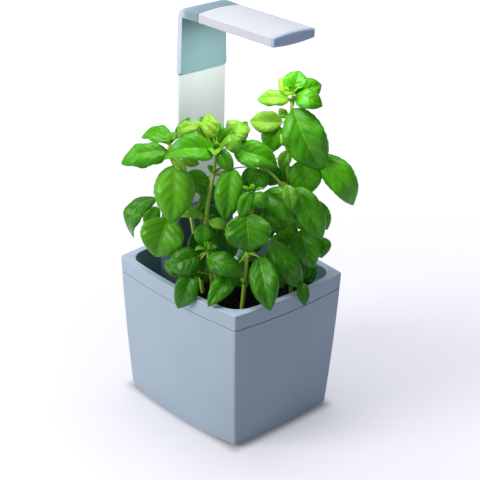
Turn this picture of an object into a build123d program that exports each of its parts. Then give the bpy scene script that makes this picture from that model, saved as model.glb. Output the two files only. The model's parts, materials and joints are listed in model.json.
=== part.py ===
from build123d import *
import math
import os

os.makedirs("parts", exist_ok=True)

# Driving dimensions, in millimetres. Z is up from the floor, the front face looks along -Y
# and the lamp mast stands towards +Y.

# Outside of the planter body
rim_height = 148.0
rim_half_x = 70.0
rim_half_y = 84.0
base_half_x = 61.5
base_half_y = 78.0
rim_bow_front = 5.0
rim_bow_side = 5.6
base_bow_front = 3.3
base_bow_side = 9.9
body_lift = 3.0
collar_height = 16.0
corner_radius = 1.6
seam_chamfer = 0.6
base_edge = 1.0
rim_edge = 0.5
early_taper_share = 0.57

# Walls
shell_wall = 2.4
rim_width = 7.0
rim_lip = 2.0
tank_wall = 2.0
opening_radius = 15.0
tank_floor_level = 22.0
tank_floor_wall = 2.0

# Column that carries the mast
column_front = 35.0
column_back = 62.0
column_split = 52.0
column_foot_half = 39.0
column_top_half = 36.0
column_top = 202.0
column_shoulder = 14.0
column_wall = 2.2

# Mast
mast_half = 29.0
mast_back = 47.7
lower_mast_front = 43.5
upper_mast_front = 42.0
mast_seam_level = 336.0
lowest_mast_foot = 50.0
mast_drop = 45.0
lamp_rise = 40.0
mast_wall = 1.2
seam_gap = 0.4

# Lamp head
lamp_top = 401.0
head_half = 25.6
head_crown = 1.8
head_side = 8.4
head_sag = 1.6
head_root = 21.0
head_tip = -77.6
head_skin = 1.6
arm_gap = 0.6

# Small moving parts
button_travel = 0.8
float_rise = 25.0

# General clearances
slide_gap = 0.2
fit_gap = 0.1
screw_gap = 0.05
cut_over = 1.0

seam_level = rim_height - collar_height
mast_foot_level = lowest_mast_foot + mast_drop
sections_per_loft = 4


def taper_share(level):
    """Share of the inward taper reached at a level: slow below the rim, faster near the foot."""
    down = (rim_height - level) / (rim_height - body_lift)
    return down * (early_taper_share + (1 - early_taper_share) * down)


def half_width(level):
    return rim_half_x + (base_half_x - rim_half_x) * taper_share(level)


def half_depth(level):
    return rim_half_y + (base_half_y - rim_half_y) * taper_share(level)


def front_bow(level):
    return rim_bow_front + (base_bow_front - rim_bow_front) * taper_share(level)


def side_bow(level):
    return rim_bow_side + (base_bow_side - rim_bow_side) * taper_share(level)


def body_face(level, inset, radius):
    """Plan of the body at a level, set in from the outside: four bowed sides, rounded corners."""
    half_x = half_width(level) - inset
    half_y = half_depth(level) - inset
    front = half_y + front_bow(level)
    side = half_x + side_bow(level)
    with BuildSketch(Plane.XY.offset(level)) as face:
        with BuildLine():
            ThreePointArc((-half_x, -half_y), (0, -front), (half_x, -half_y))
            ThreePointArc((half_x, -half_y), (side, 0), (half_x, half_y))
            ThreePointArc((half_x, half_y), (0, front), (-half_x, half_y))
            ThreePointArc((-half_x, half_y), (-side, 0), (-half_x, -half_y))
        make_face()
        fillet(face.vertices(), radius)
    return face.sketch


def body_faces(bottom, top, inset, radius):
    """Plans at even levels from bottom to top, for one smooth loft."""
    steps = [step / (sections_per_loft - 1) for step in range(sections_per_loft)]
    return [body_face(bottom + (top - bottom) * step, inset, radius) for step in steps]


def bevel_faces(low, low_inset, high, high_inset, radius):
    """Two plans for a narrow bevelled band round the body."""
    return [body_face(low, low_inset, radius), body_face(high, high_inset, radius)]


def facing_back(y):
    """Upright plane at a depth, whose sketches extrude towards the front."""
    return Plane.XZ.offset(-y)


# Base plate, the recessed foot under the body
plate_under = 1.0
plate_inset = 9.0
bottom_lip = 20.0
plate_rise = 2.4
spigot_gap = 0.3
boss_x = 48.5
boss_y = 65.0
boss_radius = 3.5
screw_radius = 1.5
screw_head_radius = 2.8
screw_head_depth = 1.5
base_screw_length = 14.0
foot_inset = 18.0
foot_width = 6.0
foot_pocket = 1.0
board_half_x = 34.0
board_front = 28.0
board_rear = 74.0
board_level = 9.4
board_thickness = 1.6
board_post_radius = 3.0
board_post_inset = 4.0
board_post_pitch = 20.0
board_screw_radius = 1.25
board_screw_head = 2.4
board_screw_rise = 1.4

board_middle = (board_front + board_rear) / 2
board_post_x = board_half_x - board_post_inset
board_post_y = board_front + board_post_inset
board_posts = [(sx * board_post_x, board_post_y + row * board_post_pitch) for sx in (-1, 1) for row in (0, 1)]
base_bosses = [(sx * boss_x, sy * boss_y) for sx in (-1, 1) for sy in (-1, 1)]


def foot_ring(clearance):
    """Plan of the foot ring at the floor, wider by a clearance on both sides."""
    with BuildSketch() as ring:
        add(body_face(body_lift, foot_inset - clearance, corner_radius).moved(Location((0, 0, -body_lift))))
        inner = body_face(body_lift, foot_inset + foot_width + clearance, corner_radius)
        add(inner.moved(Location((0, 0, -body_lift))), mode=Mode.SUBTRACT)
    return ring.sketch


with BuildPart() as base_plate:
    with BuildSketch(Plane.XY.offset(plate_under)):
        add(body_face(body_lift, plate_inset, corner_radius).moved(Location((0, 0, -body_lift))))
    extrude(amount=body_lift - plate_under)
    with BuildSketch(Plane.XY.offset(body_lift)):
        add(body_face(body_lift, bottom_lip + spigot_gap, corner_radius).moved(Location((0, 0, -body_lift))))
    extrude(amount=plate_rise)
    with BuildSketch(Plane.XY.offset(body_lift)):
        with Locations(board_posts):
            Circle(board_post_radius)
    extrude(amount=board_level - body_lift)
    with BuildSketch(Plane.XY.offset(board_level)):
        with Locations(board_posts):
            Circle(board_screw_radius + screw_gap)
    extrude(amount=body_lift - board_level, mode=Mode.SUBTRACT)
    with BuildSketch(Plane.XY.offset(plate_under)):
        add(foot_ring(slide_gap))
    extrude(amount=foot_pocket, mode=Mode.SUBTRACT)
    with Locations(Plane(origin=(0, 0, plate_under), x_dir=(1, 0, 0), z_dir=(0, 0, -1))):
        with Locations(base_bosses):
            CounterSinkHole(screw_radius + screw_gap, screw_head_radius + screw_gap)
base_plate.part.label = "base_plate"
export_step(base_plate.part, "parts/base_plate.step")

# Rubber foot ring, pressed into the groove of the base plate
with BuildPart() as rubber_foot:
    with BuildSketch():
        add(foot_ring(0))
    extrude(amount=plate_under + foot_pocket)
    chamfer(rubber_foot.edges().group_by(Axis.Z)[0], slide_gap)
rubber_foot.part.label = "rubber_foot"
export_step(rubber_foot.part, "parts/rubber_foot.step")

# Countersunk screws that hold the base plate to the body
with BuildPart() as base_screws:
    with Locations([(x, y, plate_under) for x, y in base_bosses]):
        Cone(screw_head_radius, screw_radius, screw_head_depth, align=(Align.CENTER, Align.CENTER, Align.MIN))
        Cylinder(screw_radius, base_screw_length, align=(Align.CENTER, Align.CENTER, Align.MIN))
base_screws.part.label = "base_screws"
export_step(base_screws.part, "parts/base_screws.step")

# Outer shell of the body, with its bottom lip, screw bosses and power inlet hole
inlet_level = 16.0
inlet_radius = 4.0
inlet_bore = 2.75

with BuildPart() as outer_shell:
    loft(body_faces(body_lift + base_edge, seam_level - seam_chamfer, 0, corner_radius))
    loft(bevel_faces(body_lift, base_edge, body_lift + base_edge, 0, corner_radius), ruled=True)
    loft(bevel_faces(seam_level - seam_chamfer, 0, seam_level, seam_chamfer, corner_radius), ruled=True)
    loft(body_faces(body_lift + shell_wall, seam_level, shell_wall, corner_radius), mode=Mode.SUBTRACT)
    loft(body_faces(body_lift, body_lift + shell_wall, bottom_lip, corner_radius), mode=Mode.SUBTRACT)
    with BuildSketch(Plane.XY.offset(body_lift)):
        with Locations(base_bosses):
            Circle(boss_radius)
    extrude(amount=tank_floor_level - body_lift)
    with BuildSketch(Plane.XY.offset(body_lift)):
        with Locations(base_bosses):
            Circle(screw_radius + screw_gap)
    extrude(amount=base_screw_length, mode=Mode.SUBTRACT)
    with BuildSketch(facing_back(base_half_y + base_bow_side)):
        with Locations((0, inlet_level)):
            Circle(inlet_radius + slide_gap)
    extrude(amount=base_bow_side + 2 * shell_wall, mode=Mode.SUBTRACT)
outer_shell.part.label = "outer_shell"
export_step(outer_shell.part, "parts/outer_shell.step")

# Control board in the dry space under the tank
with BuildPart() as control_board:
    with BuildSketch(Plane.XY.offset(board_level)):
        with Locations((0, board_middle)):
            Rectangle(2 * board_half_x, board_rear - board_front)
        with Locations(board_posts):
            Circle(board_screw_radius + screw_gap, mode=Mode.SUBTRACT)
    extrude(amount=board_thickness)
control_board.part.label = "control_board"
export_step(control_board.part, "parts/control_board.step")

# Components on the control board: coil, capacitors and chips
coil_radius = 6.0
coil_height = 7.0
can_radius = 3.0
can_height = 9.0
can_spacing = 8.0
chip_size = 6.0
chip_height = 1.6
component_row = board_front + coil_radius + board_post_inset / 2

with BuildPart() as board_components:
    with BuildSketch(Plane.XY.offset(board_level + board_thickness)):
        with Locations((-board_half_x / 2, component_row)):
            Circle(coil_radius)
    extrude(amount=coil_height)
    with BuildSketch(Plane.XY.offset(board_level + board_thickness)):
        with Locations((board_half_x / 2, component_row)):
            with GridLocations(can_spacing, can_spacing, 2, 1):
                Circle(can_radius)
    extrude(amount=can_height)
    with BuildSketch(Plane.XY.offset(board_level + board_thickness)):
        with Locations((0, board_middle + can_spacing)):
            with GridLocations(board_half_x, 0, 2, 1):
                Rectangle(chip_size, chip_size)
    extrude(amount=chip_height)
board_components.part.label = "board_components"
export_step(board_components.part, "parts/board_components.step")

# Pan head screws of the control board
with BuildPart() as board_screws:
    with Locations([(x, y, board_level + board_thickness) for x, y in board_posts]):
        Cylinder(board_screw_head, board_screw_rise, align=(Align.CENTER, Align.CENTER, Align.MIN))
        shank = board_level - body_lift + board_thickness
        Cylinder(board_screw_radius, shank, align=(Align.CENTER, Align.CENTER, Align.MAX))
board_screws.part.label = "board_screws"
export_step(board_screws.part, "parts/board_screws.step")

# Power inlet on the rear edge of the control board, with its barrel in the shell's hole
inlet_body_half = 4.5
inlet_body_length = 13.0
inlet_overhang = 2.0
inlet_body_rear = board_rear + inlet_overhang
inlet_pin = 1.0
inlet_depth = 9.0
inlet_face = half_depth(inlet_level) + front_bow(inlet_level)
inlet_body_height = 2 * (inlet_level - board_level - board_thickness)

with BuildPart() as dc_inlet:
    with BuildSketch(facing_back(inlet_body_rear)):
        with Locations((0, inlet_level)):
            Rectangle(2 * inlet_body_half, inlet_body_height)
    extrude(amount=inlet_body_length)
    with BuildSketch(facing_back(inlet_face)):
        with Locations((0, inlet_level)):
            Circle(inlet_radius)
    extrude(amount=inlet_face - inlet_body_rear)
    with BuildSketch(facing_back(inlet_face)):
        with Locations((0, inlet_level)):
            Circle(inlet_bore)
            Circle(inlet_pin, mode=Mode.SUBTRACT)
    extrude(amount=inlet_depth, mode=Mode.SUBTRACT)
dc_inlet.part.label = "dc_inlet"
export_step(dc_inlet.part, "parts/dc_inlet.step")

# Water tank, an inner tub that stands on the screw bosses, with its top edge under the collar's lip
pot_post_radius = 5.0
pot_post_x = 44.0
pot_post_front = -58.0
pot_post_rear = 16.0
pot_seat = 54.0
lead_hole = 4.0
lead_y = 43.0
foot_screw_x = 24.0
foot_screw_y = 44.0
foot_screw_radius = 1.5
tank_outside = rim_width - tank_wall
tank_top = rim_height - rim_lip
tank_inside_floor = tank_floor_level + tank_floor_wall
pot_posts = [(sx * pot_post_x, y) for sx in (-1, 1) for y in (pot_post_front, pot_post_rear)]
foot_screw_places = [(-foot_screw_x, foot_screw_y), (foot_screw_x, foot_screw_y)]

with BuildPart() as water_tank:
    loft(body_faces(tank_floor_level, tank_top, tank_outside, opening_radius + tank_wall))
    loft(body_faces(tank_inside_floor, tank_top, rim_width, opening_radius), mode=Mode.SUBTRACT)
    with BuildSketch(Plane.XY.offset(tank_floor_level)):
        with Locations(pot_posts):
            Circle(pot_post_radius)
    extrude(amount=pot_seat - tank_floor_level)
    with BuildSketch(Plane.XY.offset(tank_floor_level)):
        with Locations((0, lead_y)):
            Circle(lead_hole)
        with Locations(foot_screw_places):
            Circle(foot_screw_radius + screw_gap)
    extrude(amount=tank_floor_wall, mode=Mode.SUBTRACT)
water_tank.part.label = "water_tank"
export_step(water_tank.part, "parts/water_tank.step")

# Collar, the rim that closes the gap between shell and tank, with a locating tongue below
tongue_depth = 4.0

with BuildPart() as rim_collar:
    loft(bevel_faces(seam_level, seam_chamfer, seam_level + seam_chamfer, 0, corner_radius), ruled=True)
    loft(body_faces(seam_level + seam_chamfer, rim_height - rim_edge, 0, corner_radius))
    loft(bevel_faces(rim_height - rim_edge, 0, rim_height, rim_edge, corner_radius), ruled=True)
    loft(body_faces(seam_level - tongue_depth, seam_level, shell_wall + slide_gap, corner_radius))
    recess_top = tank_top + slide_gap
    recess_inset = tank_outside - slide_gap
    recess = body_faces(seam_level - tongue_depth, recess_top, recess_inset, opening_radius + tank_wall)
    loft(recess, mode=Mode.SUBTRACT)
    loft(body_faces(recess_top, rim_height, rim_width, opening_radius), mode=Mode.SUBTRACT)
    bevel_bottom = rim_height - rim_edge
    inner_bevel = bevel_faces(bevel_bottom, rim_width, rim_height, rim_width - rim_edge, opening_radius)
    loft(inner_bevel, ruled=True, mode=Mode.SUBTRACT)
rim_collar.part.label = "rim_collar"
export_step(rim_collar.part, "parts/rim_collar.step")

# Gasket between the tank floor and the column foot
gasket_thickness = 1.5
gasket_band = 5.0
column_foot = tank_inside_floor + gasket_thickness
column_depth = column_back - column_front
column_middle = (column_back + column_front) / 2

with BuildPart() as column_gasket:
    with BuildSketch(Plane.XY.offset(tank_inside_floor)):
        with Locations((0, column_middle)):
            band = Rectangle(2 * column_foot_half, column_depth)
            offset(band, amount=-gasket_band, kind=Kind.INTERSECTION, mode=Mode.SUBTRACT)
    extrude(amount=gasket_thickness)
column_gasket.part.label = "column_gasket"
export_step(column_gasket.part, "parts/column_gasket.step")


def column_face(inset):
    """Front view of the column: slightly tapered sides, rounded shoulders."""
    with BuildSketch() as face:
        with BuildLine():
            Polyline(
                (-column_foot_half + inset, column_foot + inset),
                (column_foot_half - inset, column_foot + inset),
                (column_top_half - inset, column_top - inset),
                (-column_top_half + inset, column_top - inset),
                close=True,
            )
        make_face()
        fillet(face.vertices().group_by(Axis.Y)[-1], column_shoulder - inset)
    return face.sketch


# Front shell of the column: face, sides, screw bosses and the mast's slot in its top
column_front_round = 3.0
column_boss_radius = 2.8
column_boss_x = 32.4
column_boss_low = 33.0
column_boss_high = 150.0
column_screw_radius = 1.1
column_screw_head = 2.1
column_head_depth = 1.4
column_screw_length = 16.0
foot_boss_radius = 3.2
foot_boss_height = 7.0
guide_bottom = 172.0
guide_height = 12.0
column_bosses = [(sx * column_boss_x, z) for sx in (-1, 1) for z in (column_boss_low, column_boss_high)]
lower_mast_depth = mast_back - lower_mast_front
lower_mast_middle = (mast_back + lower_mast_front) / 2

with BuildPart() as column_front_shell:
    with BuildSketch(facing_back(column_split)):
        add(column_face(0))
    extrude(amount=column_split - column_front)
    fillet(column_front_shell.edges().group_by(Axis.Y)[0], column_front_round)
    with BuildSketch(facing_back(column_split)):
        add(column_face(column_wall))
    extrude(amount=column_split - column_front - column_wall, mode=Mode.SUBTRACT)
    with BuildSketch(facing_back(column_split)):
        with Locations(column_bosses):
            Circle(column_boss_radius)
    extrude(amount=column_split - column_front - column_wall)
    with BuildSketch(facing_back(column_split)):
        with Locations(column_bosses):
            Circle(column_screw_radius + screw_gap)
    extrude(amount=column_screw_length / 2, mode=Mode.SUBTRACT)
    with BuildSketch(Plane.XY.offset(column_foot)):
        with Locations(foot_screw_places):
            Circle(foot_boss_radius)
    extrude(amount=foot_boss_height)
    with BuildSketch(Plane.XY.offset(column_foot)):
        with Locations(foot_screw_places):
            Circle(foot_screw_radius + screw_gap)
        with Locations((0, lead_y)):
            Circle(lead_hole)
    extrude(amount=foot_boss_height - cut_over, mode=Mode.SUBTRACT)
    with BuildSketch(Plane.XY.offset(column_top)):
        with Locations((0, lower_mast_middle)):
            Rectangle(2 * (mast_half + slide_gap), lower_mast_depth + 2 * slide_gap)
    extrude(amount=-2 * column_wall, mode=Mode.SUBTRACT)
column_front_shell.part.label = "column_front_shell"
export_step(column_front_shell.part, "parts/column_front_shell.step")

# Rear shell of the column
with BuildPart() as column_rear_shell:
    with BuildSketch(facing_back(column_back)):
        add(column_face(0))
    extrude(amount=column_back - column_split)
    fillet(column_rear_shell.edges().group_by(Axis.Y)[-1], column_front_round / 2)
    with BuildSketch(facing_back(column_back - column_wall)):
        add(column_face(column_wall))
    extrude(amount=column_back - column_wall - column_split, mode=Mode.SUBTRACT)
    with BuildSketch(facing_back(column_back - column_wall)):
        with Locations(column_bosses):
            Circle(column_boss_radius)
    extrude(amount=column_back - column_wall - column_split)
    with BuildSketch(facing_back(column_back)):
        with Locations(column_bosses):
            Circle(column_screw_radius + screw_gap)
    extrude(amount=column_back - column_split, mode=Mode.SUBTRACT)
    with BuildSketch(facing_back(column_back)):
        with Locations(column_bosses):
            Circle(column_screw_head + screw_gap)
    extrude(amount=column_head_depth, mode=Mode.SUBTRACT)
column_rear_shell.part.label = "column_rear_shell"
export_step(column_rear_shell.part, "parts/column_rear_shell.step")

# Screws that join the two column shells
with BuildPart() as column_screws:
    with BuildSketch(facing_back(column_back)):
        with Locations(column_bosses):
            Circle(column_screw_head)
    extrude(amount=column_head_depth)
    with BuildSketch(facing_back(column_back)):
        with Locations(column_bosses):
            Circle(column_screw_radius)
    extrude(amount=column_screw_length)
column_screws.part.label = "column_screws"
export_step(column_screws.part, "parts/column_screws.step")

# Screws up through the tank floor into the column's foot bosses
foot_head_radius = 2.8
foot_head_rise = 1.6

with BuildPart() as column_foot_screws:
    with Locations([(x, y, tank_floor_level) for x, y in foot_screw_places]):
        Cylinder(foot_head_radius, foot_head_rise, align=(Align.CENTER, Align.CENTER, Align.MAX))
        Cylinder(foot_screw_radius, foot_boss_height, align=(Align.CENTER, Align.CENTER, Align.MIN))
column_foot_screws.part.label = "column_foot_screws"
export_step(column_foot_screws.part, "parts/column_foot_screws.step")

# Guide bush under the column's top, in which the mast slides
guide_half = column_top_half - column_wall - slide_gap

with BuildPart() as mast_guide:
    with BuildSketch(Plane.XY.offset(guide_bottom)):
        with Locations((0, column_middle)):
            Rectangle(2 * guide_half, column_depth - 2 * (column_wall + fit_gap))
        with Locations((0, lower_mast_middle)):
            Rectangle(2 * (mast_half + fit_gap), lower_mast_depth + 2 * fit_gap, mode=Mode.SUBTRACT)
    extrude(amount=guide_height)
mast_guide.part.label = "mast_guide"
export_step(mast_guide.part, "parts/mast_guide.step")

# Lower mast, a channel that is open to the back, closed by its cover
tongue_screw_x = 15.0
tongue_screw_drop = 40.0
tongue_screw_level = mast_seam_level - tongue_screw_drop
tongue_screw_radius = 1.25
lower_channel = lower_mast_front + mast_wall
tongue_screw_places = [(sx * tongue_screw_x, tongue_screw_level) for sx in (-1, 1)]
mast_height = mast_seam_level - mast_foot_level
cover_half = mast_half - mast_wall - fit_gap

with BuildPart() as lower_mast:
    with BuildSketch(Plane.XY.offset(mast_foot_level)):
        with Locations((0, lower_mast_middle)):
            outer = Rectangle(2 * mast_half, lower_mast_depth)
            fillet(outer.vertices(), mast_wall / 2)
        with Locations((0, mast_back)):
            Rectangle(2 * (mast_half - mast_wall), 2 * (mast_back - lower_channel), mode=Mode.SUBTRACT)
    extrude(amount=mast_height)
lower_mast.part.label = "lower_mast"
export_step(lower_mast.part, "parts/lower_mast.step")

with BuildPart() as lower_mast_cover:
    with BuildSketch(facing_back(mast_back)):
        with Locations((0, mast_foot_level + mast_height / 2)):
            Rectangle(2 * cover_half, mast_height)
        with Locations(tongue_screw_places):
            Circle(tongue_screw_radius + screw_gap, mode=Mode.SUBTRACT)
    extrude(amount=mast_wall)
lower_mast_cover.part.label = "lower_mast_cover"
export_step(lower_mast_cover.part, "parts/lower_mast_cover.step")

# Tongue, a flat metal bar fixed in the lower mast, on which the upper mast slides
tongue_half = 25.0
tongue_front = 44.9
tongue_thickness = 1.2
tongue_drop = 60.0
tongue_bottom = mast_seam_level - tongue_drop
tongue_hold = 10.0
tongue_top = mast_seam_level + lamp_rise + tongue_hold

with BuildPart() as mast_tongue:
    with BuildSketch(facing_back(tongue_front + tongue_thickness)):
        with Locations((0, (tongue_bottom + tongue_top) / 2)):
            Rectangle(2 * tongue_half, tongue_top - tongue_bottom)
        with Locations(tongue_screw_places):
            Circle(tongue_screw_radius + screw_gap, mode=Mode.SUBTRACT)
    extrude(amount=tongue_thickness)
mast_tongue.part.label = "mast_tongue"
export_step(mast_tongue.part, "parts/mast_tongue.step")

with BuildPart() as tongue_screws:
    with BuildSketch(facing_back(mast_back)):
        with Locations(tongue_screw_places):
            Circle(tongue_screw_radius)
    extrude(amount=mast_back - tongue_front)
tongue_screws.part.label = "tongue_screws"
export_step(tongue_screws.part, "parts/tongue_screws.step")

# Contact strips on the tongue's front
strip_x = 6.0
strip_half = 1.5
strip_thickness = 0.2
strip_bottom = tongue_bottom

with BuildPart() as contact_strips:
    with BuildSketch(facing_back(tongue_front)):
        with Locations([(side * strip_x, (strip_bottom + tongue_top) / 2) for side in (-1, 1)]):
            Rectangle(2 * strip_half, tongue_top - strip_bottom)
    extrude(amount=strip_thickness)
contact_strips.part.label = "contact_strips"
export_step(contact_strips.part, "parts/contact_strips.step")

# Friction pads on the tongue's back, which hold the upper mast where it is put
pad_half = 7.0
pad_height = 8.0
pad_x = 14.0
pad_gap = 0.05
upper_back_inside = mast_back - mast_wall
tongue_back = tongue_front + tongue_thickness
pad_level = tongue_top - pad_height / 2 - 2 * fit_gap

with BuildPart() as friction_pads:
    with BuildSketch(facing_back(upper_back_inside - pad_gap)):
        with Locations((-pad_x, pad_level), (pad_x, pad_level)):
            Rectangle(2 * pad_half, pad_height)
    extrude(amount=upper_back_inside - pad_gap - tongue_back)
friction_pads.part.label = "friction_pads"
export_step(friction_pads.part, "parts/friction_pads.step")

# Flat lead inside the lower mast
flex_half = 4.0
flex_thickness = 0.3

with BuildPart() as mast_flex:
    with BuildSketch(facing_back(tongue_back)):
        with Locations((0, (mast_foot_level + tongue_bottom) / 2)):
            Rectangle(2 * flex_half, tongue_bottom - mast_foot_level)
    extrude(amount=flex_thickness)
mast_flex.part.label = "mast_flex"
export_step(mast_flex.part, "parts/mast_flex.step")

# Sliding shoe on the mast's foot, which runs in the column
shoe_half = 32.0
shoe_below = 10.0
shoe_grip = 4.0
shoe_screw_x = 18.0
shoe_screw_radius = 1.1
shoe_front = column_front + column_wall + slide_gap
shoe_back = column_back - column_wall - slide_gap
shoe_bottom = mast_foot_level - shoe_below
shoe_screw_level = mast_foot_level + shoe_grip / 2

with BuildPart() as mast_shoe:
    with BuildSketch(Plane.XY.offset(shoe_bottom)):
        with Locations((0, (shoe_front + shoe_back) / 2)):
            Rectangle(2 * shoe_half, shoe_back - shoe_front)
    extrude(amount=shoe_below + shoe_grip)
    chamfer(mast_shoe.edges().filter_by(Axis.Z), cut_over)
    with BuildSketch(Plane.XY.offset(mast_foot_level)):
        with Locations((0, lower_mast_middle)):
            Rectangle(2 * (mast_half + screw_gap), lower_mast_depth + 2 * screw_gap)
    extrude(amount=shoe_grip, mode=Mode.SUBTRACT)
    with BuildSketch(Plane.XY.offset(shoe_bottom)):
        with Locations((0, lower_mast_middle)):
            Rectangle(2 * (flex_half + slide_gap), lower_mast_depth)
    extrude(amount=shoe_below, mode=Mode.SUBTRACT)
    with BuildSketch(facing_back(lower_mast_front)):
        with Locations((-shoe_screw_x, shoe_screw_level), (shoe_screw_x, shoe_screw_level)):
            Circle(shoe_screw_radius + screw_gap)
    extrude(amount=lower_mast_front - shoe_front, mode=Mode.SUBTRACT)
mast_shoe.part.label = "mast_shoe"
export_step(mast_shoe.part, "parts/mast_shoe.step")

with BuildPart() as shoe_screws:
    with BuildSketch(facing_back(lower_mast_front)):
        with Locations((-shoe_screw_x, shoe_screw_level), (shoe_screw_x, shoe_screw_level)):
            Circle(shoe_screw_radius)
    extrude(amount=lower_mast_front - shoe_front)
shoe_screws.part.label = "shoe_screws"
export_step(shoe_screws.part, "parts/shoe_screws.step")

# Plug at the column's foot and the folded flat lead between it and the moving shoe
plug_half = 8.0
plug_height = 4.0
plug_depth = 7.0
plug_y = lead_y
fold_count = 6
fold_half = 2.4
fold_width = 10.0
fold_thickness = 0.6
column_floor = column_foot + column_wall
plug_top = column_floor + plug_height

with BuildPart() as column_plug:
    with BuildSketch(Plane.XY.offset(column_floor)):
        with Locations((0, plug_y)):
            Rectangle(2 * plug_half, plug_depth)
    extrude(amount=plug_height)
    with BuildSketch(Plane.XY.offset(column_floor)):
        with Locations((0, plug_y)):
            Circle(board_screw_radius + screw_gap)
    extrude(amount=plug_height / 2, mode=Mode.SUBTRACT)
column_plug.part.label = "column_plug"
export_step(column_plug.part, "parts/column_plug.step")

with BuildPart() as folded_lead:
    with BuildSketch(Plane.YZ.offset(-fold_width / 2)):
        with BuildLine():
            fold_step = (shoe_bottom - plug_top) / fold_count
            middle = plug_y
            Polyline(*[
                (middle + (fold_half if fold % 2 else -fold_half), plug_top + fold * fold_step)
                for fold in range(fold_count + 1)
            ])
        trace(line_width=fold_thickness)
        with Locations((middle, (plug_top + shoe_bottom) / 2)):
            Rectangle(plug_depth, shoe_bottom - plug_top - 2 * screw_gap, mode=Mode.INTERSECT)
    extrude(amount=fold_width)
folded_lead.part.label = "folded_lead"
export_step(folded_lead.part, "parts/folded_lead.step")

# Lead from the control board up to the plug
with BuildPart() as base_lead:
    with BuildSketch(Plane.XY.offset(board_level + board_thickness)):
        with Locations((0, plug_y)):
            Circle(board_screw_radius)
    extrude(amount=column_floor + plug_height / 2 - board_level - board_thickness)
base_lead.part.label = "base_lead"
export_step(base_lead.part, "parts/base_lead.step")

# Lens-shaped section of arm and head: crowned top, upright sides, bellied underside
edge_top = lamp_top - head_crown
edge_bottom = edge_top - head_side
lamp_bottom = edge_bottom - head_sag
section_round = 0.8


def lens_face(half, inset):
    """Front view of the lamp's section, set in all round."""
    side = half - inset
    with BuildSketch() as face:
        with BuildLine():
            ThreePointArc((-side, edge_top - inset), (0, lamp_top - inset), (side, edge_top - inset))
            Line((side, edge_top - inset), (side, edge_bottom + inset))
            ThreePointArc((side, edge_bottom + inset), (0, lamp_bottom + inset), (-side, edge_bottom + inset))
            Line((-side, edge_bottom + inset), (-side, edge_top - inset))
        make_face()
        fillet(face.vertices(), section_round)
    return face.sketch


# Upper mast, one bent bar with the arm: a channel open to the back with a rounded elbow
elbow_radius = 11.0
elbow_inside = 3.0
elbow_half = 27.0
upper_wall = 1.4
upper_bottom = mast_seam_level + seam_gap
arm_root = head_root + arm_gap
cavity_half = tongue_half + slide_gap
cavity_front = upper_mast_front + upper_wall
cavity_top = tongue_top + fit_gap
tenon_half = 17.0
tenon_length = 6.5
tenon_skin = 3.2
tenon_bottom = lamp_bottom + tenon_skin
tenon_height = 5.0
wire_half = 5.0
wire_skin = 1.2
wire_bottom = tenon_bottom + wire_skin
wire_height = 2.4
wire_depth = 1.6
head_screw_x = 11.0
head_screw_radius = 1.1
head_screw_head = 2.0
head_screw_y = arm_root + tenon_length / 2
head_screw_places = [(-head_screw_x, head_screw_y), (head_screw_x, head_screw_y)]

with BuildPart() as upper_mast:
    with BuildSketch(facing_back(mast_back)):
        with BuildLine():
            Polyline(
                (-mast_half, upper_bottom), (mast_half, upper_bottom),
                (elbow_half, edge_bottom + head_sag), (-elbow_half, edge_bottom + head_sag), close=True,
            )
        make_face()
    extrude(amount=mast_back - upper_mast_front)
    fillet(upper_mast.edges().filter_by(Axis.Y).group_by(Axis.Z)[0], elbow_inside)
    arm_ends = [(arm_root, head_half), (mast_back, elbow_half)]
    loft([facing_back(y) * lens_face(half, 0) for y, half in arm_ends], ruled=True)
    with BuildSketch(Plane.YZ.offset(-mast_half)):
        with BuildLine():
            Polyline(
                (arm_root, upper_bottom), (mast_back, upper_bottom),
                (mast_back, lamp_top), (arm_root, lamp_top), close=True,
            )
        elbow = make_face()
        fillet(elbow.vertices().group_by(Axis.X)[-1].sort_by(Axis.Y)[-1], elbow_radius)
    extrude(amount=2 * mast_half, mode=Mode.INTERSECT)
    with BuildSketch(facing_back(mast_back)):
        with Locations((0, (upper_bottom + cavity_top) / 2)):
            Rectangle(2 * cavity_half, cavity_top - upper_bottom + fit_gap)
    extrude(amount=mast_back - cavity_front, mode=Mode.SUBTRACT)
    with BuildSketch(facing_back(cavity_front + wire_depth)):
        with Locations((0, wire_bottom + wire_height / 2)):
            Rectangle(2 * wire_half, wire_height)
    extrude(amount=cavity_front + wire_depth - arm_root, mode=Mode.SUBTRACT)
    with BuildSketch(Plane.XY.offset(cavity_top)):
        with Locations((0, cavity_front + wire_depth / 2)):
            Rectangle(2 * wire_half, wire_depth)
    extrude(amount=wire_bottom - cavity_top, mode=Mode.SUBTRACT)
    with BuildSketch(facing_back(arm_root + tenon_length + fit_gap)):
        with Locations((0, tenon_bottom + tenon_height / 2)):
            Rectangle(2 * (tenon_half + fit_gap), tenon_height + 2 * fit_gap)
    extrude(amount=tenon_length + fit_gap, mode=Mode.SUBTRACT)
    with BuildSketch(Plane.XY.offset(lamp_bottom)):
        with Locations(head_screw_places):
            Circle(head_screw_radius + screw_gap)
    extrude(amount=tenon_bottom - lamp_bottom, mode=Mode.SUBTRACT)
    with BuildSketch(Plane.XY.offset(lamp_bottom)):
        with Locations(head_screw_places):
            Circle(head_screw_head + screw_gap)
    extrude(amount=head_screw_head, mode=Mode.SUBTRACT)
upper_mast.part.label = "upper_mast"
export_step(upper_mast.part, "parts/upper_mast.step")

# Cover that closes the upper mast's back
cover_bottom = upper_bottom + fit_gap
cover_top = cavity_top - fit_gap

with BuildPart() as upper_mast_cover:
    with BuildSketch(facing_back(mast_back)):
        with Locations((0, (cover_bottom + cover_top) / 2)):
            Rectangle(2 * (cavity_half - fit_gap), cover_top - cover_bottom)
    extrude(amount=mast_wall)
upper_mast_cover.part.label = "upper_mast_cover"
export_step(upper_mast_cover.part, "parts/upper_mast_cover.step")

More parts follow.
